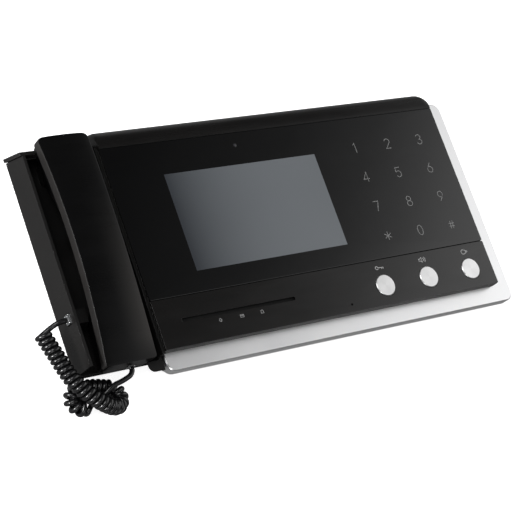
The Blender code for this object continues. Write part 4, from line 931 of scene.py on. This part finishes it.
def make_world():
    """A dim soft dome with one bright stretch, which the glass front mirrors as a gradient.

    The camera itself sees plain white.
    """
    world = bpy.data.worlds.new("studio_dome")
    bpy.context.scene.world = world
    world.use_nodes = True
    tree = world.node_tree
    nodes, links = tree.nodes, tree.links
    back = nodes["Background"]
    place = nodes.new("ShaderNodeTexCoord").outputs["Generated"]

    def dot(vector):
        node = nodes.new("ShaderNodeVectorMath")
        node.operation = "DOT_PRODUCT"
        links.new(place, node.inputs[0])
        node.inputs[1].default_value = vector
        return node.outputs["Value"]

    def calc(operation, first, second):
        node = nodes.new("ShaderNodeMath")
        node.operation = operation
        for socket, value in zip(node.inputs, (first, second)):
            if isinstance(value, bpy.types.NodeSocket):
                links.new(value, socket)
            else:
                socket.default_value = value
        return node.outputs[0]

    def ramp(value, stops):
        node = nodes.new("ShaderNodeValToRGB")
        elements = node.color_ramp.elements
        node.color_ramp.interpolation = "LINEAR"
        while len(elements) < len(stops):
            elements.new(0.5)
        for element, (position, level) in zip(elements, stops):
            element.position = position
            element.color = grey(level)
        links.new(value, node.inputs[0])
        return node.outputs["Color"]

    # the camera's axes mirrored in the panel's face
    mirrored = [Vector((v[0], v[1], -v[2])) for v in (CAMERA_RIGHT, CAMERA_UP, CAMERA_WAY)]
    ahead = calc("MAXIMUM", dot(mirrored[2]), 0.05)
    across = calc("DIVIDE", dot(mirrored[0]), ahead)
    upward = calc("DIVIDE", dot(mirrored[1]), ahead)
    slide = calc("ADD", across, calc("MULTIPLY", upward, GRADIENT_TILT))
    position = calc("ADD", calc("MULTIPLY", slide, GRADIENT_SCALE), 0.5)
    level = ramp(position, GRADIENT)
    inside = ramp(ahead, GRADIENT_EDGE)
    mix = nodes.new("ShaderNodeMix")
    mix.data_type = "RGBA"
    links.new(inside, mix.inputs["Factor"])
    mix.inputs["A"].default_value = grey(DOME_LEVEL)
    links.new(level, mix.inputs["B"])
    seen = nodes.new("ShaderNodeMix")
    seen.data_type = "RGBA"
    links.new(nodes.new("ShaderNodeLightPath").outputs["Is Camera Ray"], seen.inputs["Factor"])
    links.new(mix.outputs["Result"], seen.inputs["A"])
    seen.inputs["B"].default_value = grey(1.0)
    links.new(seen.outputs["Result"], back.inputs["Color"])
    back.inputs["Strength"].default_value = 1.0


LAMPS = (                           # name, place, target, size in metres and power in watts
    ("key_softbox", (-1.1, 0.5, 1.5), (0.0, 0.0, 0.0), (0.9, 0.9), 14.0),
    ("rim_softbox", (-0.9, -1.4, 0.9), (-0.15, -0.05, 0.0), (0.5, 0.9), 6.0),
    ("low_softbox", (-1.5, 0.05, 0.42), (-0.2, -0.05, 0.0), (0.5, 0.3), 24.0))
FLAT_FRONT = ("front_housing", "button_fascia", "trim_plate", "button_1", "button_2", "button_3",
              "glass_front", "screen_face")


def make_lights():
    """Three softboxes.  The low one lights the cradle's wall and the cord, not the flat front.

    In the flat front it would glare when seen from +X.
    """
    for name, place, target, size, power in LAMPS:
        data = bpy.data.lights.new(name, "AREA")
        data.shape = "RECTANGLE"
        data.size, data.size_y = size
        data.energy = power
        lamp = bpy.data.objects.new(name, data)
        lamp.location = place
        way = Vector(target) - Vector(place)
        lamp.rotation_mode = "QUATERNION"
        lamp.rotation_quaternion = way.to_track_quat("-Z", "Y")
        bpy.context.scene.collection.objects.link(lamp)
    shaded = bpy.data.collections.new("shaded_from_low_softbox")
    bpy.data.objects["low_softbox"].light_linking.receiver_collection = shaded
    for name in FLAT_FRONT:
        shaded.objects.link(NODES.get(name) or bpy.data.objects[name])
    for entry in shaded.collection_objects:
        entry.light_linking.link_state = "EXCLUDE"


# ------------------------------------------------------------------ the scene
make_camera()
make_world()
make_floor()
paint_shells()
paint_details()
make_glass()
make_keypad()
make_fascia_marks()
make_cord()
make_lights()
bpy.context.scene.view_settings.view_transform = "Standard"
